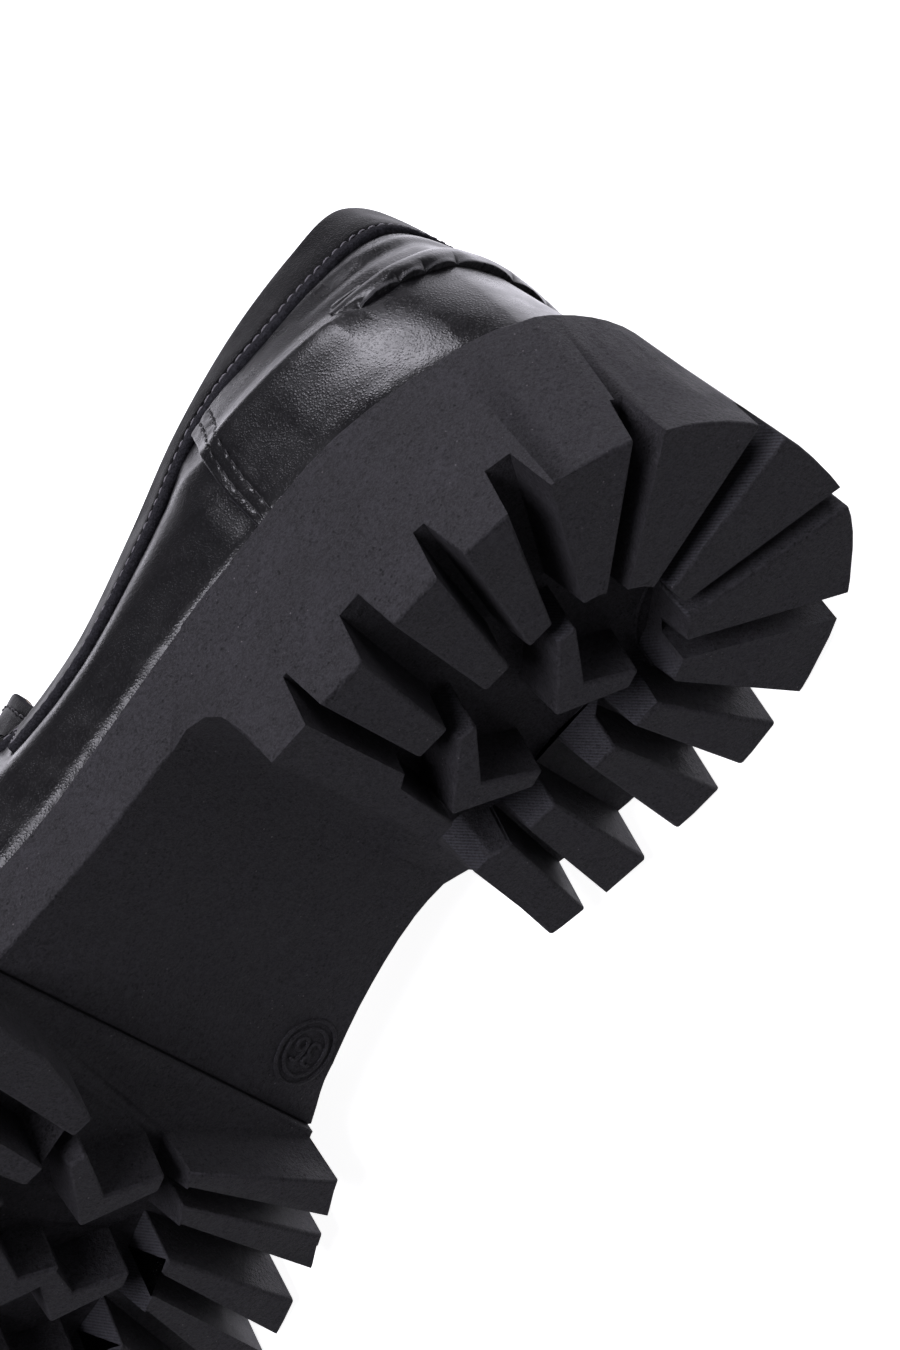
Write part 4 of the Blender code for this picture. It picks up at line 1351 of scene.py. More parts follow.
    def apron_seam(self) -> tuple[Array, Array]:
        """Where each rib passes the apron's edge, a U in plan: |y - middle|^p over the half width and x over
        the length make a superellipse ahead of its middle, and straight sides behind it.

        Returns:
            Parameters round the sole, and how far up the rib the seam is at each.
        """
        start = LAST.place(self.apron_back_x, 1)
        end = LAST.place(self.apron_back_x, -1)
        at = np.linspace(start - 0.02, end + 0.02, 420)
        up = np.linspace(0.0, 1.0, 300)
        points = LAST.on(at[:, None], up[None, :])
        middle = np.interp(points[..., 0], (100.0, 160.0, 250.0), (-3.5, -10.5, -16.0))
        side = np.abs(points[..., 1] - middle) / self.apron_half_width
        reach = self.apron_toe_x - self.apron_middle_x
        ahead = np.maximum((points[..., 0] - self.apron_middle_x) / reach, 0.0)
        level = side**self.apron_power + ahead**self.apron_power - 1.0
        found = np.maximum(np.argmax(level < 0, axis=1), 1)
        rows = np.arange(len(at))
        above = level[rows, found]
        below = level[rows, found - 1]
        crossing = up[found - 1] + below / (below - above) * (up[1] - up[0])
        window = np.hanning(17)
        padded = np.pad(crossing, 8, mode="edge")
        return at, np.convolve(padded, window / window.sum(), mode="valid")

    def front_distance(self, at: Array, up: Array, seam_up: Array) -> Array:
        """Outer face of the front: the last, let down under the rear quarter, with the raised and gathered
        apron seam.

        Args:
            at: Parameters round the sole.
            up: Parameters along the ribs.
            seam_up: up of the apron seam at each place.

        Returns:
            Millimetres out from the last.
        """
        points = LAST.on(at, up)
        scale = LAST.round_scale(at, up)
        length = LAST.up_scale(at, up)
        outer = (at - self.seam(up)) * scale
        inner = (self.medial_seam(up) - at) * scale
        under = 0.35 * smooth_step(np.minimum(outer, inner), 4.5, -0.2)
        near = from_heel(at)
        below = (self.band_edge(at) - up) * length
        fall = self.side_fall * np.clip(1.0 - below / self.fall_width, 0.0, 1.0) ** 2
        fall = fall * smooth_step(near, 0.128, 0.142) * smooth_step(near, 0.225, 0.205)
        band = self.proud(at) * self.band_depth * smooth_step(-below, -1.5, 0.3)
        span = smooth_step(at, self.apron_start, self.apron_start + 0.02)
        span = span * smooth_step(at, self.apron_end, self.apron_end - 0.02)
        across = (up - seam_up) * length
        along = at * self.sole_round
        uneven = 1.3 * soft_noise(points, 18.0, 7)
        gather = 0.5 + 0.5 * np.sin(along * 2 * math.pi / self.gather_pitch + uneven)
        ridge = 1.25 * bell(across + 0.9, 1.15) - 0.55 * bell(across - 0.75, 0.6)
        puckers = 0.3 * gather * bell(across + 3.4, 2.4)
        return (
            -under
            - band
            - fall
            + self.ridge(at, up, length)
            + 0.07 * soft_noise(points, 26.0, 6)
            + span * (ridge - puckers)
            + self.creases(at, up, length)
            + self.feather_wrinkles(at, up * length, points)
        )

    def build_front(self) -> bpy.types.Object:
        """The front of the upper, from seam to seam round the toe; its columns crowd at the apron seam.

        Returns:
            The piece.
        """
        rows, half = self.front_grid
        seam_at, seam_up = self.apron_seam()
        self.apron_start = seam_at[0] + 0.02
        self.apron_end = seam_at[-1] - 0.02
        start = self.seam(np.zeros(1))[0] - 0.012
        end = self.medial_seam(np.zeros(1))[0] + 0.012
        along = np.linspace(start, end, rows)
        fade = smooth_step(along, self.apron_start - 0.02, self.apron_start + 0.01)
        fade = fade * smooth_step(along, self.apron_end + 0.02, self.apron_end - 0.01)
        middle = self.plain_up + (np.interp(along, seam_at, seam_up) - self.plain_up) * fade
        cut = LAST.cut(along)
        share = np.linspace(0.0, 1.0, half + 1)
        low = -self.tuck + (middle[:, None] + self.tuck) * (1 - (1 - share) ** 1.45)[None, :]
        high = middle[:, None] + (cut - middle)[:, None] * (share**1.3)[None, :]
        up = np.concatenate([low, high[:, 1:]], axis=1)
        at = np.broadcast_to(along[:, None], up.shape)
        distance = self.front_distance(at, up, middle[:, None])
        outer = LAST.off(at, up, distance)
        inner = LAST.off(at, up, np.maximum(distance - self.panel, -self.deepest))
        self.apron_path = (along, middle)
        # painted shadow under the collar band's lower edge, kept in the shade mark
        marks = {"raw": 0 * at, "painted_shade": self.band_gap_shadow(at, up, LAST.up_scale(at, up))}
        piece = add_wall("vamp", outer, inner, self.finishes.hide, ratio=4, marks=marks)
        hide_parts("upper")
        return piece

    def build_lining(self) -> bpy.types.Object:
        """The lining, a closed ring inside both.

        Returns:
            The piece.
        """
        rows, columns = self.lining_grid
        at = np.broadcast_to((np.arange(rows) / rows)[:, None], (rows, columns))
        share = np.linspace(0.004, 0.995, columns)[None, :]
        up = LAST.cut(at) * share
        soft = 0.12 * soft_noise(LAST.on(at, up), 20.0, 21)
        outer = LAST.off(at, up, np.full(at.shape, -1.4))
        inner = LAST.off(at, up, -LAST.wall + soft * 0.5)
        marks = {"raw": 0 * at}
        return add_wall(
            "quarter_lining", outer, inner, self.finishes.lining, ring=True, marks=marks
        )

    def band_edge(self, at: Array) -> Array:
        """up of the collar band's lower edge: its table over the quarters, and a narrower strip at the
        throat.

        Args:
            at: Parameters round the sole.

        Returns:
            up of the edge.
        """
        flat = np.mod(np.asarray(at, float), 1.0)
        near = from_heel(at)
        table = np.array(BAND_EDGE)
        cut = LAST.cut(flat)
        throat = cut - self.throat_band / LAST.up_scale(flat, cut)
        share = smooth_step(near, self.strap_at - 0.008, self.strap_at + 0.012)
        return np.interp(near, table[:, 0], table[:, 1]) * (1.0 - share) + throat * share

    def band_gap_shadow(self, at: Array, up: Array, length: Array) -> Array:
        """Shares of 0 to 1 of the painted shadow in the gap under the collar band's lower edge."""
        return smooth_step((up - self.band_edge(at)) * length, -0.5, -0.12)

    def proud(self, at: Array) -> Array:
        """How much of the band's thickness shows: all of it at the sides, little of it at the back.

        Args:
            at: Parameters round the sole.

        Returns:
            The shares.
        """
        return 0.25 + 0.75 * smooth_step(from_heel(at), 0.025, 0.055)

    def build_binding(self) -> None:
        """The collar band: a raw bead along its lower edge, a stitch groove, a smooth strip, a roll over the
        rim and a turned-in lining edge. The profile is carried round the rim, each row at its own height
        above the lower edge or below the rim."""
        rows = 2000
        at = np.arange(rows) / rows
        cut = LAST.cut(at)
        low = self.band_edge(at)
        length = LAST.up_scale(at, low)
        rim_length = LAST.up_scale(at, cut)
        base = LAST.on(at, low)
        wander = 0.12 * soft_noise(base, 6.0, 31) + 0.05 * soft_noise(base, 2.1, 32)
        fray = 0.06 * soft_noise(base, 0.8, 33)
        proud = self.proud(at)
        profile: list[Array] = []
        raw: list[Array] = []
        for above, distance, cut_edge in BAND_BEAD:
            rag = (wander + fray) * smooth_step(np.array(above), 2.4, 0.6)
            out = np.minimum(distance, distance * proud) + (fray + 0.05 * wander) * cut_edge
            profile.append(LAST.off(at, low + (above + rag) / length, out))
            raw.append(np.full(rows, cut_edge))
        top = cut - 1.2 / rim_length
        start = low + BAND_BEAD[-1][0] / length
        for share, distance in BAND_STRIP:
            out = distance * (proud + (1 - proud) * share * 0.6) + 0.05 * soft_noise(base, 9.0, 34)
            profile.append(LAST.off(at, start + (top - start) * share, out))
            raw.append(np.zeros(rows))
        half = (LAST.wall + 0.95) / 2
        for angle in np.linspace(4.0, 176.0, 11):
            turn = math.radians(angle)
            level = (0.5 * (0.6 + 0.4 * proud)) - half + half * math.cos(turn)
            along = unit(LAST.ways(at, cut)[1])
            profile.append(LAST.off(at, top, level) + along * 1.3 * math.sin(turn))
            raw.append(np.zeros(rows))
        for below, distance, cut_edge in BAND_LINING:
            profile.append(LAST.off(at, cut - below / rim_length, np.full(rows, -LAST.wall - distance)))
            raw.append(np.full(rows, cut_edge))
        profile.append(LAST.off(at, cut - 1.5 / rim_length, np.full(rows, -LAST.wall / 2)))
        raw.append(np.zeros(rows))
        points = np.stack(profile, axis=1)
        faces = tube_faces(rows, points.shape[1], True)
        marks = {"raw": np.stack(raw, axis=1)}
        hide = self.finishes.smooth_hide
        add_piece("collar_binding", points, [faces[0][:, ::-1]], hide, marks)
        path = np.linspace(0.0, 1.0, 2400)
        path_low = self.band_edge(path)
        path_up = path_low + self.groove_up / LAST.up_scale(path, path_low)
        stitch = Stitch(length=1.75, pitch=1.8, radius=0.14, slant=12.0, lift=0.1, sink=0.2)
        sew("collar_stitches", [(stitch, path, path_up, 0.42 * self.proud(path))], self.finishes.light_thread)

    def build_seam_stitches(self) -> None:
        """Two rows beside each side seam, between their needle holes."""
        up = np.linspace(0.0, 0.92, 240)
        runs = []
        stitch = Stitch(length=1.8, pitch=self.seam_pitch, radius=0.13, lift=0.0, sink=0.25)
        for near, grow in (self.first_row, self.second_row):
            for line, sign in ((self.seam(up), -1.0), (self.medial_seam(up) - 1.0, 1.0)):
                path = line + sign * (near + grow * up) / LAST.round_scale(line, up)
                keep = (self.band_edge(line) - up) * LAST.up_scale(line, up) > 0.5
                distance = self.rear_distance(path, up) + 0.3 * self.holes(self.seam_edge(path, up), up)
                runs.append((stitch, path[keep], up[keep], distance[keep] + 0.1))
        sew("side_seam_stitches", runs, self.finishes.thread)

    def build_apron_stitches(self) -> None:
        """Stitches across the apron seam, from the gathered edge into the apron."""
        at, up = self.apron_path
        keep = (at > self.apron_start + 0.012) & (at < self.apron_end - 0.012)
        at = at[keep]
        up = up[keep]
        stitch = Stitch(length=3.0, pitch=self.gather_pitch, radius=0.36, slant=78.0, lift=0.5, sink=0.55)
        run = (stitch, at, up - 0.5 / LAST.up_scale(at, up), np.full(at.shape, 0.72))
        sew("apron_stitches", [run], self.finishes.thread)

    def build(self) -> None:
        """Every piece of the upper."""
        self.build_rear()
        self.build_front()
        self.build_lining()
        self.build_binding()
        self.build_seam_stitches()
        self.build_apron_stitches()


KICKER_LINE = (
    # at, top up, lower edge up, height
    (-0.079, 0.470, 0.405, 0.0),
    (-0.070, 0.500, 0.405, 0.75),
    (-0.055, 0.535, 0.420, 1.0),
    (-0.030, 0.572, 0.455, 1.0),
    (0.000, 0.586, 0.472, 1.0),
    (0.030, 0.572, 0.458, 1.0),
    (0.042, 0.552, 0.433, 1.0),
    (0.054, 0.530, 0.408, 1.0),
    (0.066, 0.505, 0.394, 0.95),
    (0.074, 0.492, 0.376, 0.85),
    (0.0785, 0.482, 0.380, 0.70),
    (0.0835, 0.480, 0.400, 0.42),
)
KICKER_LIPS = (
    # start at, end at, how far the lip stands open, how much of that stays open at its ends
    (0.0664, 0.0776, 1.0, 0.0),
    (0.0588, 0.0664, 0.85, 0.0),
    (0.0480, 0.0588, 0.75, 0.1),
    (0.0210, 0.0480, 1.0, 0.25),
    (0.0020, 0.0210, 0.9, 0.25),
    (-0.0180, 0.0020, 0.9, 0.25),
    (-0.0390, -0.0180, 0.9, 0.25),
    (-0.0560, -0.0390, 0.85, 0.1),
    (-0.0680, -0.0560, 0.9, 0.0),
    (-0.0770, -0.0680, 0.9, 0.0),
)


KICKER_SHARES = (0.0, 0.05, 0.12, 0.2, 0.3, 0.4, 0.5, 0.6, 0.7, 0.8, 0.88, 0.95, 1.0)
KICKER_FACE = (
    # millimetres above the lower edge, share of the lip's height out
    (-0.05, 0.93),
    (0.0, 0.78),
    (0.12, 0.55),
    (0.25, 0.30),
    (0.35, 0.0),
    (0.40, -0.60),
)


@dataclass
class Kicker:
    """The rolled lip round the heel: its upper edge runs out of the quarter, and its raw lower edge is pulled
    down to the quarter at each stitch."""

    finishes: Finishes
    height: float = 1.42
    rows: int = 640
    ease: int = 61

    def openness(self, at: Array) -> Array:
        """How far the lip stands open at each at: a half wave to the power 0.6 in each of the lips.

        Args:
            at: Parameters round the sole.

        Returns:
            The shares.
        """
        total = np.zeros(at.shape)
        for start, end, most, least in KICKER_LIPS:
            share = np.clip((at - start) / (end - start), 0.0, 1.0)
            inside = (at > start) & (at <= end)
            total += np.where(inside, most * (least + (1 - least) * np.sin(share * math.pi) ** 0.6), 0.0)
        return total

    def build(self) -> bpy.types.Object:
        """A profile from the top edge over the roll to the lip, its raw face, and back inside. Where the lip
        is shut the roll is a plain half wave; where it is open the roll keeps its height down to the lip.

        Returns:
            The piece.
        """
        table = np.array(KICKER_LINE)
        at = np.linspace(table[0, 0], table[-1, 0], self.rows)
        window = np.hanning(self.ease) / np.hanning(self.ease).sum()

        def column(index: int) -> Array:
            """A column of the table, eased."""
            values = np.interp(at, table[:, 0], table[:, index])
            return np.convolve(np.pad(values, self.ease // 2, mode="edge"), window, mode="valid")

        top = column(1)
        low = column(2)
        base = LAST.on(at, low)
        ragged = 0.07 * soft_noise(base, 1.0, 41) + 0.04 * soft_noise(base, 0.5, 42)
        height = column(3) * self.height + 0.06 * soft_noise(base, 7.0, 43)
        height = height * smooth_step(at, table[0, 0], table[0, 0] + 0.006)
        length = LAST.up_scale(at, (top + low) / 2)
        lip = self.openness(at)
        profile = []
        raw = []
        for share in KICKER_SHARES:
            wide = math.sin(math.pi / 2 * min(share / 0.5, 1.0)) ** 0.85
            wide *= 1 - 0.16 * max(share - 0.7, 0.0) / 0.3
            shut = wide * float(smooth_step(np.array(share), 1.02, 0.72))
            pucker = 0.02 * soft_noise(base, 1.6, 44) * (1 - lip) * share
            out = height * (shut * (1 - lip) + wide * lip) + pucker - 0.12 * (share == 0.0)
            profile.append(LAST.off(at, top + (low - top) * share, out))
            raw.append(0.9 * lip * smooth_step(np.full(self.rows, share), 0.9, 1.0))
        edge = 0.84 * height * lip
        for above, share_out in KICKER_FACE:
            ups = low + (above * lip + ragged * lip * 0.7) / length
            out = np.maximum(edge * share_out, -0.45) + ragged * lip - 0.3 * (share_out < 0)
            profile.append(LAST.off(at, ups, out))
            raw.append(np.full(self.rows, 1.0))
        profile.append(LAST.off(at, (top + low) / 2, np.full(self.rows, -0.5)))
        raw.append(np.ones(self.rows))
        profile.append(LAST.off(at, top - 0.3 / length, np.full(self.rows, -0.45)))
        raw.append(np.ones(self.rows))
        points = np.stack(profile, axis=1)
        faces = [face[:, ::-1] for face in tube_faces(self.rows, points.shape[1], False)]
        # painted shade: the raw faces inside the open lips are darkened
        marks = {"raw": np.stack(raw, axis=1), "painted_shade": 0.75 * np.stack(raw, axis=1)}
        piece = add_piece("heel_kicker_roll", points, faces, self.finishes.hide, marks)
        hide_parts("heel_kicker")
        return piece


# ---------------------------------------------------------------- strap, tongue and insole


@dataclass
class SaddleStrap:
    """The strap across the instep, from feather to feather, with its slot and edge stitching."""

    finishes: Finishes
    back_x: float = 114.0
    width: float = 24.0
    rake: float = 0.06
    thick: float = 1.8
    slot_half: float = 10.5
    slot_open: float = 2.3
    edge_row: float = 2.2
    edge_radius: float = 0.7
    rows: int = 441
    columns: int = 81

    def line(self, share: float) -> tuple[Array, Array]:
        """One line along the strap.

        Args:
            share: 0 at its back edge and 1 at its front edge.

        Returns:
            at and up of even steps along it, from the outer feather to the inner one.
        """
        x = self.back_x + self.width * share
        places = np.linspace(LAST.place(x, 1), LAST.place(x, -1), 500)
        up = np.linspace(0.0, 1.0, 200)
        points = LAST.on(places[:, None], up[None, :])
        ahead = points[..., 0] - x + self.rake * (points[..., 2] - points[:, :1, 2])
        found = np.maximum(np.argmax(ahead < 0, axis=1), 1)
        rows = np.arange(len(places))
        above = ahead[rows, found]
        below = ahead[rows, found - 1]
        crossing = np.clip(below / np.where(below == above, 1.0, below - above), 0.0, 1.0)
        level = np.maximum(up[found - 1] + crossing * (up[1] - up[0]), 0.003)
        reached = run_lengths(LAST.on(places, level))
        even = np.linspace(0.0, reached[-1], self.rows)
        return np.interp(even, reached, places), np.interp(even, reached, level)

    def build(self) -> None:
        """A strip of even rows, with a rounded edge, a slot let in at its middle and two stitch rows."""
        shares = np.linspace(0.0, 1.0, self.columns)
        shares = 0.5 - 0.5 * np.cos(shares * math.pi) * (1 + 0.12 * np.sin(shares * math.pi) ** 2)
        lines = [self.line(float(share)) for share in shares]
        at = np.array([line[0] for line in lines]).T
        up = np.array([line[1] for line in lines]).T
        points = LAST.on(at, up)
        step = np.linalg.norm(np.diff(points, axis=0), axis=-1)
        reached = np.concatenate([np.zeros((1, self.columns)), np.cumsum(step, axis=0)])
        along = reached - reached[-1:] / 2
        across = (shares[None, :] - 0.5) * self.width
        edge = self.width / 2 - np.abs(across)
        row = 0.28 * bell(edge - self.edge_row, 0.4) * smooth_step(np.abs(along), -1.0, 0.0)
        eye = self.slot_open * np.clip(1 - (along / self.slot_half) ** 2, 0.0, 1.0) ** 0.8
        eye = eye + 1.3 * bell(along, 1.6)
        inside = np.abs(along) < self.slot_half
        gap = np.abs(across) - np.where(inside, eye, 0.0)
        depth = self.thick * 0.86 * smooth_step(gap, 0.15, -0.35) * inside
        near_slot = smooth_step(np.abs(along), self.slot_half + 1.5, self.slot_half - 1.5)
        lip = 0.14 * bell(gap - 0.7, 0.6) * near_slot
        crown = 0.5 * (1 - (2 * across / self.width) ** 2) * smooth_step(np.abs(along), 60.0, 10.0)
        soft = 0.06 * soft_noise(points, 15.0, 51)
        distance = GAP + self.thick - round_off(edge, self.edge_radius) - row - depth + lip + crown + soft
        outer = LAST.off(at, up, distance)
        inner = LAST.off(at, up, np.full(at.shape, GAP * 0.5))
        raw = smooth_step(edge, 0.35, 0.05) + 0 * along
        raw = np.maximum(raw, bell(gap, 0.3) * inside * 0.8)
        # painted shade inside the slot
        painted_shade = 0.6 * smooth_step(gap, -0.1, -0.5) * inside
        piece = add_wall(
            "saddle_band",
            outer[::-1],
            inner[::-1],
            self.finishes.hide,
            ratio=4,
            marks={"raw": raw[::-1], "painted_shade": painted_shade[::-1]},
        )
        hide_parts("saddle_strap")
        stitch = Stitch(length=1.9, pitch=2.5, radius=0.24, lift=0.06, sink=0.3)
        runs = []
        for share in (self.edge_row / self.width, 1 - self.edge_row / self.width):
            line_at, line_up = (values[4:-4] for values in self.line(share))
            runs.append((stitch, line_at, line_up, np.full(len(line_at), GAP + self.thick - 0.05)))
        sew("saddle_stitches", runs, self.finishes.thread)


@dataclass
class Tongue:
    """The flap under the throat, a layer of hide on a layer of lining."""

    finishes: Finishes
    start: tuple[float, int] = (104.0, 1)
    end: tuple[float, int] = (107.0, -1)
    root: float = 0.76
    thick: float = 2.0
    dip: float = 0.05
    dip_from: float = 0.06
    dip_to: float = 0.3
    edge_row: float = 2.4
    edge_radius: float = 0.6
    rows: int = 241
    columns: int = 61

    def build(self) -> None:
        """Two walls of even thickness on one grid, with a rounded raw edge, and a stitch row inside it."""
        along = np.linspace(LAST.place(*self.start), LAST.place(*self.end), self.rows)
        share = np.linspace(0.0, 1.0, self.columns)
        side = np.linspace(0.0, 1.0, self.rows)
        end = 1.0 - self.dip * smooth_step(np.minimum(side, 1.0 - side), self.dip_from, self.dip_to)
        ups = self.root + (end[:, None] - self.root) * (1 - (1 - share) ** 1.5)
        at = np.broadcast_to(along[:, None], ups.shape)
        points = LAST.on(at, ups)
        length = LAST.up_scale(at, ups)
        edge = (end[:, None] - ups) * length
        soft = 0.1 * soft_noise(points, 12.0, 61)
        row = 0.22 * bell(edge - self.edge_row, 0.45)
        top = -LAST.wall - 2 * GAP
        face = top + soft - round_off(edge, self.edge_radius) - row
        middle = np.full(at.shape, top - self.thick * 0.55)
        raw = smooth_step(edge, 0.5, 0.1)
        piece = add_wall(
            "tongue_top",
            LAST.off(at, ups, face),
            LAST.off(at, ups, middle),
            self.finishes.smooth_hide,
            ratio=4,
            marks={"raw": raw},
        )
        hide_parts("tongue")
        back = np.full(at.shape, top - self.thick)
        add_wall(
            "tongue_lining",
            LAST.off(at, ups, middle - 0.03),
            LAST.off(at, ups, back + soft),
            self.finishes.lining,
            ratio=2,
            marks={"raw": raw},
        )
        path_up = end - self.edge_row / length[:, -1]
        stitch = Stitch(length=1.7, pitch=2.3, radius=0.22, lift=0.05, sink=0.3)
        run = (stitch, along[6:-6], path_up[6:-6], np.full(self.rows - 12, top - 0.1))
        sew("tongue_stitches", [run], self.finishes.thread)


@dataclass
class Insole:
    """The footbed: a sock of lining leather, dished under the heel and crowned at its edge."""

    finishes: Finishes
    thick: float = 3.0
    level: float = 0.05
    edge_radius: float = 0.5
    line_x: tuple[float, ...] = (26.0, 70.0, 160.0, 226.0)
    line_y: tuple[float, ...] = (0.0, 0.0, -10.0, -15.0)
    rows: int = 420
    rings: int = 46

    def build(self) -> None:
        """A grid from the edge of the sole to its middle line; the height is the feather's, with a dish."""
        at = np.arange(self.rows) / self.rows
        edge = LAST.off(at, np.full(self.rows, self.level), np.full(self.rows, -LAST.wall - 2 * GAP))[:, :2]
        x = edge[:, 0]
        back, front = self.line_x[0], self.line_x[-1]
        middle = np.column_stack([np.clip(x, back, front), np.interp(x, self.line_x, self.line_y)])
        share = np.linspace(0.0, 1.0, self.rings)
        share = 1 - (1 - share) ** 1.5
        plan = edge[:, None] + (middle - edge)[:, None] * share[None, :, None] * 0.9995
        inset = np.linalg.norm(plan - edge[:, None], axis=-1)
        dish = 0.9 * smooth_step(inset, 2.0, 16.0)
        top = LAST.heights(plan[..., 0]) + GAP + self.thick - dish - round_off(inset, self.edge_radius)
        top = top + 0.08 * soft_noise(np.concatenate([plan, top[..., None]], axis=-1), 14.0, 71)
        outer = np.concatenate([plan, top[..., None]], axis=-1)
        under = np.concatenate([plan, (LAST.heights(plan[..., 0]) + GAP * 0.7)[..., None]], axis=-1)
        points = np.concatenate([outer.reshape(-1, 3), under.reshape(-1, 3)])
        columns = self.rings
        base = self.rows * columns
        quads = grid_quads(self.rows, columns, True)
        row = np.arange(self.rows)
        after = (row + 1) % self.rows
        here, there = row * columns, after * columns
        rim_faces = np.column_stack([here, there, base + there, base + here])
        caps = np.stack([here + columns - 1, base + here + columns - 1])
        faces = [quads, quads[:, ::-1] + base, rim_faces, caps[:1, ::-1], caps[1:]]
        marks = {"raw": np.zeros(len(points))}
        piece = add_piece("sock_lining", points, faces, self.finishes.lining, marks)
        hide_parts("insole")


# ---------------------------------------------------------------- the sole


@dataclass
class Sole:
    """The moulded unit with softened edges, its size mark and the ring in the heel's hollow."""

    finishes: Finishes
    edge: float = 0.5
    least: float = 1.0
    spare: float = 0.1
    stray: float = 0.22
    step_x: float = 118.0
    shank_z: tuple[float, float] = (9.0, 9.4)
    groove_width: float = 0.55
    groove_depth: float = 0.7
    groove_reach: float = 40.0
    merge: float = 0.02
    flat: float = 1.0
    corner: float = 27.0
    wall_steps: int = 1500
    wall_reach: float = 0.8
    wall_turn: float = 24.0
    mark_x: float = 109.0
    mark_y: float = -26.6
    digit_size: float = 1.15
    digit_offset: float = 1.15
    outer_ring: float = 5.0
    inner_ring: float = 3.7
    bead: float = 0.36
    arc_middle: tuple[float, float] = (21.0, -17.0)
    arc_radius: float = 14.0
    arc_sweep: tuple[float, float] = (20.0, 68.0)

    def build_unit(self) -> bpy.types.Object:
        """A merged copy of the outsole, its flat triangles joined, with its outward corners rounded by a
        bevel. Edges shorter than least and their neighbours stay sharp, and a vertex that the bevel throws
        further than stray off the solid is set back on it.

        Returns:
            The piece.
        """
        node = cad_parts["outsole"]
        mesh = node.data.copy()
        mesh.name = "sole_unit"
        work = bmesh.new()
        work.from_mesh(mesh)
        bmesh.ops.remove_doubles(work, verts=work.verts, dist=self.merge * MM)
        angle = math.radians(self.flat)
        bmesh.ops.dissolve_limit(work, angle_limit=angle, verts=work.verts, edges=work.edges)
        weights = work.edges.layers.float.new("bevel_weight_edge")
        sharp = {side for side in work.edges if side.calc_face_angle_signed(0.0) > math.radians(self.corner)}
        short = {side for side in sharp if side.calc_length() < self.least * MM}
        short |= {other for side in short for end in side.verts for other in end.link_edges}
        for side in sharp - short:
            side[weights] = 1.0
        self.make_room(work, sharp - short)
        self.cut_groove(work)
        work.to_mesh(mesh)
        work.free()
        mesh.shade_smooth()
        mesh.set_sharp_from_angle(angle=math.radians(self.corner))
        draft = bpy.data.objects.new("sole_draft", mesh)
        bpy.context.scene.collection.objects.link(draft)
        bevel = draft.modifiers.new("soft_edges", "BEVEL")
        bevel.width = self.edge * MM
        bevel.segments = 3
        bevel.limit_method = "WEIGHT"
        bevel.use_clamp_overlap = False
        bevel.harden_normals = True
        made = bpy.data.meshes.new_from_object(draft.evaluated_get(bpy.context.evaluated_depsgraph_get()))
        made.name = "sole_unit"
        bpy.data.objects.remove(draft)
        corners = [vertex.co for vertex in node.data.vertices]
        surface = BVHTree.FromPolygons(corners, [tuple(face.vertices) for face in node.data.polygons])
        for vertex in made.vertices:
            place, _, _, gap = surface.find_nearest(vertex.co)
            from_step = POSE.upright(np.array(vertex.co))[0] - self.step_x
            if gap > self.stray * MM and abs(from_step) > self.spare:
                vertex.co = place
        self.smooth_wall(made)
        made.materials.clear()
        made.materials.append(self.finishes.rubber)
        piece = bpy.data.objects.new("sole_unit", made)
        bpy.context.scene.collection.objects.link(piece)
        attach(piece, "root")
        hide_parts("outsole")
        return piece

    def make_room(self, work: bmesh.types.BMesh, rounded: set[bmesh.types.BMEdge]) -> None:
        """Move each vertex on a flat away from a rounded edge of the same flat, to just past the bevel.

        Args:
            work: The sole before its bevel.
            rounded: The edges that the bevel takes.
        """
        room = (self.edge + self.spare) * MM
        work.edges.index_update()
        for vertex in work.verts:
            if not rounded.isdisjoint(vertex.link_edges):
                continue
            near = {side for face in vertex.link_faces for side in face.edges} & rounded
            for side in sorted(near, key=lambda side: side.index):
                start, end = (corner.co for corner in side.verts)
                share = (vertex.co - start).dot(end - start) / (end - start).length_squared
                gap = vertex.co - start.lerp(end, min(max(share, 0.0), 1.0))
                if 0.0 < gap.length < room:
                    vertex.co += gap.normalized() * (room - gap.length)

    def cut_groove(self, work: bmesh.types.BMesh) -> None:
        """The narrow groove where the shank meets the forefoot's step: the shank is cut along a line
        groove_width before the step, and its edge at the step is sunk by groove_depth.

        Args:
            work: The sole before its bevel.
        """
        line = Vector(POSE.place(np.array([self.step_x - self.groove_width, 0.0, 0.0])))
        faces = []
        sunk = []
        for vertex in work.verts:
            x, _, z = POSE.upright(np.array(vertex.co))
            if abs(x - self.step_x) < self.spare and self.shank_z[0] < z < self.shank_z[1]:
                sunk.append(vertex)
                faces += [face for face in vertex.link_faces if face not in faces]
        parts = faces + list(dict.fromkeys(side for face in faces for side in face.edges))
        parts += list(dict.fromkeys(corner for face in faces for corner in face.verts))
        bmesh.ops.bisect_plane(work, geom=parts, plane_co=line, plane_no=POSE.direction((1.0, 0.0, 0.0)))
        for vertex in sunk:
            if abs(POSE.upright(np.array(vertex.co))[1]) < self.groove_reach:
                vertex.co += POSE.direction((0.0, 0.0, 1.0)) * self.groove_depth * MM

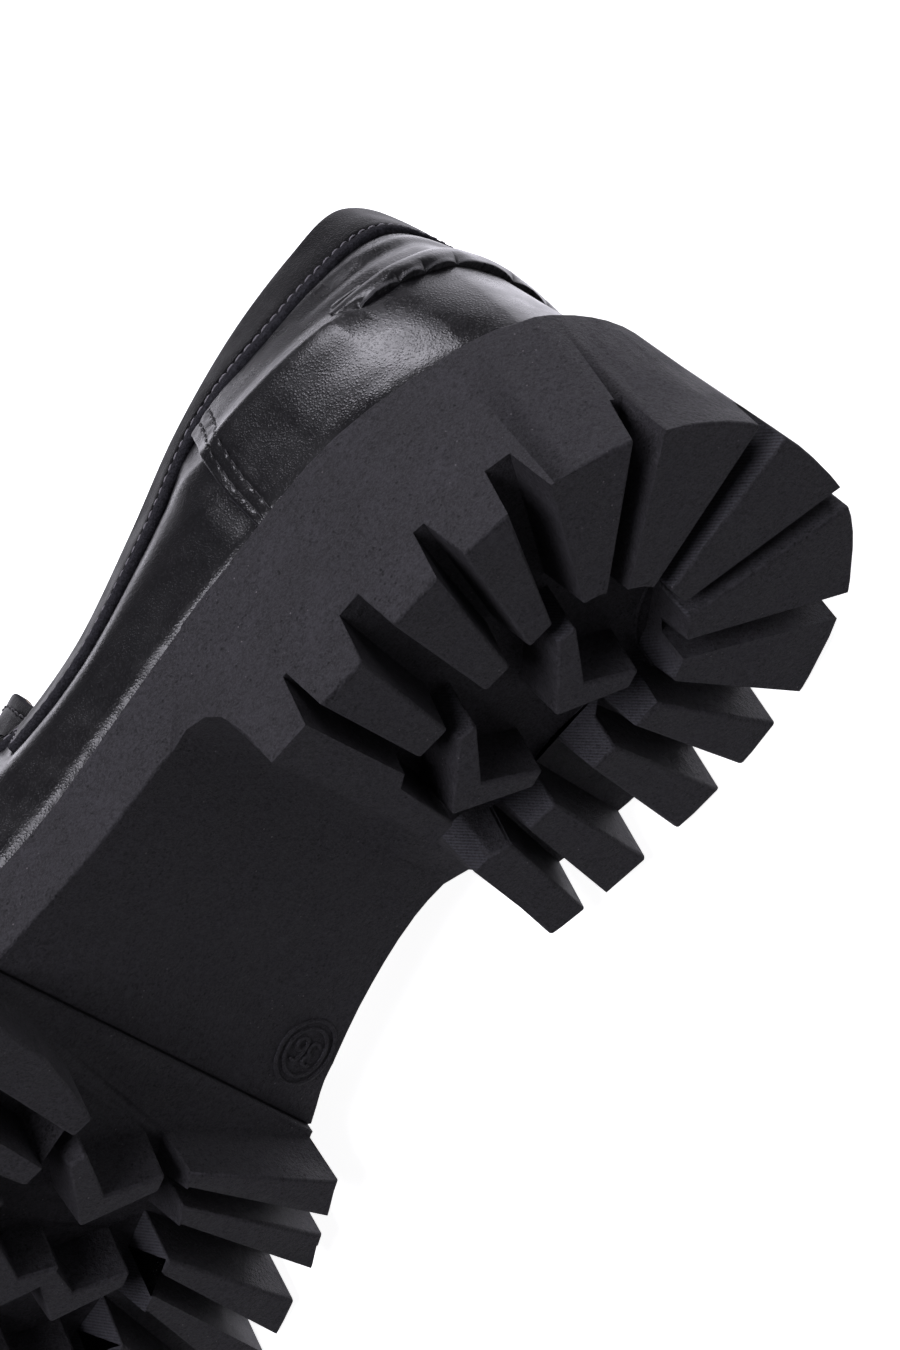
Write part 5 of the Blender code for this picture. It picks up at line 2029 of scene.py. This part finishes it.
    def smooth_wall(self, mesh: bpy.types.Mesh) -> None:
        """Turn the shading of the sidewall's flats to the outline's own curve: a corner within wall_reach of
        the wall, whose normal is within wall_turn of the wall's, takes the wall's normal.

        Args:
            mesh: The sole, in the frame's metres.
        """
        places = np.zeros(len(mesh.vertices) * 3, np.float32)
        mesh.vertices.foreach_get("co", places)
        points = POSE.upright(places.reshape(-1, 3).astype(float))
        at = np.arange(self.wall_steps) / self.wall_steps
        low = LAST.sidewall(at, 0.0)
        lean = (LAST.sidewall(at, LAST.feather_height) - low) / LAST.feather_height
        nearest = np.zeros(len(points), int)
        reach = np.zeros(len(points))
        for start in range(0, len(points), 2000):
            part = points[start : start + 2000]
            gap = np.linalg.norm(low + lean * part[:, None, 2:] - part[:, None, :2], axis=-1)
            nearest[start : start + 2000] = gap.argmin(1)
            reach[start : start + 2000] = gap.min(1)
        along = np.roll(low, -1, 0) - np.roll(low, 1, 0)
        rise = np.column_stack([lean, np.ones(len(lean))])
        walls = unit(np.cross(rise, np.column_stack([along, np.zeros(len(along))])))
        wall = (walls @ POSE.turn.T)[nearest]
        corners = np.zeros(len(mesh.loops), np.int32)
        mesh.loops.foreach_get("vertex_index", corners)
        normals = np.zeros(len(mesh.loops) * 3, np.float32)
        mesh.corner_normals.foreach_get("vector", normals)
        normals = normals.reshape(-1, 3).astype(float)
        wanted = wall[corners]
        turn = (normals * wanted).sum(-1)
        take = (reach[corners] < self.wall_reach) & (turn > math.cos(math.radians(self.wall_turn)))
        LOG.info("sidewall corners smoothed: %d of %d", int(take.sum()), len(take))
        normals[take] = wanted[take]
        mesh.normals_split_custom_set(normals.tolist())

    def projector(self) -> Callable[[Array], Array]:
        """A function that gives the sole's surface over plan points, seen from under the tread.

        Returns:
            The function.
        """
        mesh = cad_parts["outsole"].data
        points = np.zeros(len(mesh.vertices) * 3, np.float32)
        mesh.vertices.foreach_get("co", points)
        upright = POSE.upright(points.reshape(-1, 3).astype(float))
        tree = BVHTree.FromPolygons(upright.tolist(), [tuple(face.vertices) for face in mesh.polygons])

        def fall(plan: Array) -> Array:
            """Heights of the sole's underside over plan points."""
            hits = [tree.ray_cast(Vector((x, y, -20.0)), Vector((0.0, 0.0, 1.0)))[0] for x, y in plan]
            return np.array([hit.z if hit else 0.0 for hit in hits])

        return fall

    def beads(self, lines: Sequence[tuple[Array, bool]], radius: float) -> tuple[Array, list[Array]]:
        """Low beads along plan lines on the sole's underside: a six-sided profile carried along each line.

        Args:
            lines: Plan points of each line, and whether it closes.
            radius: The bead's half width.

        Returns:
            Points and faces.
        """
        fall = self.projector()
        points: list[Array] = []
        faces: list[Array] = []
        base = 0
        angles = np.arange(6) * math.pi / 3
        for plan, closed in lines:
            height = fall(plan)
            spine = np.column_stack([plan, height])
            ahead = np.roll(spine, -1, 0)
            behind = np.roll(spine, 1, 0)
            if not closed:
                ahead[-1] = 2 * spine[-1] - spine[-2]
                behind[0] = 2 * spine[0] - spine[1]
            way = unit(ahead - behind)
            side = unit(np.cross(way, np.array([0.0, 0.0, 1.0])))
            down = np.cross(side, way)
            ring = side[:, None] * np.cos(angles)[:, None] + down[:, None] * np.sin(angles)[:, None]
            points.append((spine[:, None] + ring * radius).reshape(-1, 3))
            faces += [part + base for part in tube_faces(len(plan), 6, closed)]
            base += len(plan) * 6
        return np.concatenate(points), faces

    def build_marks(self) -> None:
        """Two rings round a plain number at the arch, and the arc in the heel's hollow."""
        centre = np.array([self.mark_x, self.mark_y])
        turn = np.linspace(0.0, 2 * math.pi, 73)[:-1]
        circle = np.column_stack([np.cos(turn), np.sin(turn)])
        lines = [(centre + circle * self.outer_ring, True), (centre + circle * self.inner_ring, True)]
        for digit, sign in ((three(), -1), (six(), 1)):
            across = digit[:, 0] + sign * self.digit_offset
            lines.append((centre + self.digit_size * np.column_stack([digit[:, 1], across]), False))
        points, faces = self.beads(lines, self.bead)
        add_piece("size_mark", points, faces, self.finishes.rubber)
        sweep = np.radians(np.linspace(*self.arc_sweep, 40))
        arc = np.array(self.arc_middle) + self.arc_radius * np.column_stack([np.cos(sweep), np.sin(sweep)])
        points, faces = self.beads([(arc, False)], self.bead * 0.8)
        add_piece("heel_arc", points, faces, self.finishes.rubber)

    def build(self) -> None:
        """The unit and its marks."""
        self.build_unit()
        self.build_marks()


def three() -> Array:
    """Plan line of a 3, two millimetres wide: two open bowls.

    Returns:
        Points of its line, a row to a point.
    """
    turn = np.radians(np.linspace(150.0, -80.0, 16))
    upper = np.column_stack([0.72 * np.cos(turn), 0.85 + 0.72 * np.sin(turn)])
    turn = np.radians(np.linspace(80.0, -150.0, 16))
    lower = np.column_stack([0.82 * np.cos(turn), -0.72 + 0.86 * np.sin(turn)])
    return np.concatenate([upper, lower])


def six() -> Array:
    """Plan line of a 6: a stem that curls into a closed bowl.

    Returns:
        Points of its line, a row to a point.
    """
    turn = np.radians(np.linspace(60.0, 180.0, 10))
    stem = np.column_stack([0.95 * np.cos(turn) + 0.12, 0.05 + 1.5 * np.sin(turn)])
    turn = np.radians(np.linspace(180.0, 540.0, 22))
    bowl = np.column_stack([0.8 * np.cos(turn), -0.72 + 0.84 * np.sin(turn)])
    return np.concatenate([stem, bowl])


# ---------------------------------------------------------------- stage


@dataclass
class Stage:
    """Pale floor, soft lights and the camera."""

    camera_place: tuple[float, float, float] = (-10.67, 332.18, -273.98)
    camera_way: tuple[float, float, float] = (0.145, -0.743, 0.654)
    camera_down: tuple[float, float, float] = (0.703, -0.388, -0.596)
    lens: float = 89.15
    sensor: float = 36.0
    floor_half: float = 3.0
    floor_glow: float = 1.0
    light_distance: float = 1.2
    cast: tuple[float, float, float] = (1.0, 0.98, 1.08)
    dome_front: float = 0.27
    dome_back: float = 2.1
    dome_top: float = 0.09
    dome_turn: tuple[float, float] = (-0.5, 0.8)
    dome_edge: tuple[float, float] = (-0.28, -0.04)
    key: tuple[float, float, float] = (0.46, 0.64, 0.62)
    key_size: tuple[float, float] = (24.0, 20.0)
    overhead: tuple[float, float, float] = (-0.10, -0.24, 0.97)
    overhead_size: tuple[float, float] = (30.0, 24.0)
    radiance: float = 10.0

    def build_camera(self) -> None:
        """The camera, placed and rolled in the shoe's axes."""
        data = bpy.data.cameras.new("camera")
        data.lens = self.lens
        data.sensor_width = self.sensor
        data.clip_start = 0.01
        data.clip_end = 20.0
        camera = bpy.data.objects.new("camera", data)
        bpy.context.scene.collection.objects.link(camera)
        forward = POSE.direction(self.camera_way)
        down = POSE.direction(self.camera_down)
        down = (down - forward * down.dot(forward)).normalized()
        right = down.cross(forward)
        turn = Matrix((right, -down, -forward)).transposed().to_4x4()
        place = Vector(POSE.place(np.array(self.camera_place)))
        camera.matrix_world = Matrix.Translation(place) @ turn
        bpy.context.scene.camera = camera

    def build_floor(self) -> None:
        """A pale square floor with a faint mottle, lit a little from inside, as a light table is."""
        mesh = bpy.data.meshes.new("floor")
        half = self.floor_half
        corners = [(-half, -half, 0), (half, -half, 0), (half, half, 0), (-half, half, 0)]
        mesh.from_pydata(corners, [], [(0, 1, 2, 3)])
        graph = Graph("pale_floor")
        colour = graph.mixed(graph.noise(60.0, 3.0), (0.9, 0.9, 0.9, 1.0), (0.94, 0.94, 0.94, 1.0))
        graph.finish(Base_Color=colour, Roughness=0.8, Emission_Color=colour)
        mesh.materials.append(graph.finish(Emission_Strength=self.floor_glow))
        floor = bpy.data.objects.new("floor", mesh)
        bpy.context.scene.collection.objects.link(floor)
        floor.visible_glossy = False
        floor.visible_diffuse = False

    def add_light(self, name: str, way: Sequence[float], size: tuple[float, float]) -> None:
        """Hang a soft rectangular light round the shoe, facing it.

        Args:
            name: Its name.
            way: Its direction from the shoe, in the frame's axes.
            size: Its width and height in degrees, seen from the shoe.
        """
        data = bpy.data.lights.new(name, "AREA")
        data.shape = "RECTANGLE"
        width, height = (2 * self.light_distance * math.tan(math.radians(angle) / 2) for angle in size)
        data.size = width
        data.size_y = height
        data.energy = self.radiance * math.pi * width * height
        data.color = self.cast
        light = bpy.data.objects.new(name, data)
        light.location = Vector(way).normalized() * self.light_distance
        light.rotation_mode = "QUATERNION"
        light.rotation_quaternion = (-light.location).to_track_quat("-Z", "Y")
        bpy.context.scene.collection.objects.link(light)

    def build_world(self) -> None:
        """A dome that is dim overhead, and under the horizon rises from grey on the tread's side to white
        behind the upper."""
        world = bpy.data.worlds.new("dome")
        bpy.context.scene.world = world
        world.use_nodes = True
        tree = world.node_tree
        back = tree.nodes["Background"]
        place = tree.nodes.new("ShaderNodeTexCoord")
        split = tree.nodes.new("ShaderNodeSeparateXYZ")
        below = tree.nodes.new("ShaderNodeMapRange")
        level = tree.nodes.new("ShaderNodeMapRange")
        for node, names, values in (
            (below, ("From Min", "From Max"), self.dome_turn),
            (below, ("To Min", "To Max"), (self.dome_front, self.dome_back)),
            (level, ("From Min", "From Max"), self.dome_edge),
            (level, ("To Max",), (self.dome_top,)),
        ):
            for name, value in zip(names, values):
                node.inputs[name].default_value = value
        tree.links.new(place.outputs["Generated"], split.inputs[0])
        tree.links.new(split.outputs["Y"], below.inputs["Value"])
        tree.links.new(split.outputs["Z"], level.inputs["Value"])
        tree.links.new(below.outputs[0], level.inputs["To Min"])
        tree.links.new(level.outputs[0], back.inputs["Strength"])
        back.inputs["Color"].default_value = (*self.cast, 1.0)

    def build(self) -> None:
        """Everything that isn't the shoe."""
        self.build_camera()
        self.build_floor()
        self.build_world()
        self.add_light("key", self.key, self.key_size)
        self.add_light("overhead", self.overhead, self.overhead_size)
        bpy.context.scene.view_settings.view_transform = "Standard"


def main() -> None:
    """Build the stage, then the shoe from the sole up."""
    logging.basicConfig(level=logging.INFO, format="%(name)s: %(message)s")
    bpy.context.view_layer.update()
    Stage().build()
    finishes = Finishes()
    Sole(finishes).build()
    Insole(finishes).build()
    Upper(finishes).build()
    Kicker(finishes).build()
    Tongue(finishes).build()
    SaddleStrap(finishes).build()


if __name__ == "__main__":
    main()
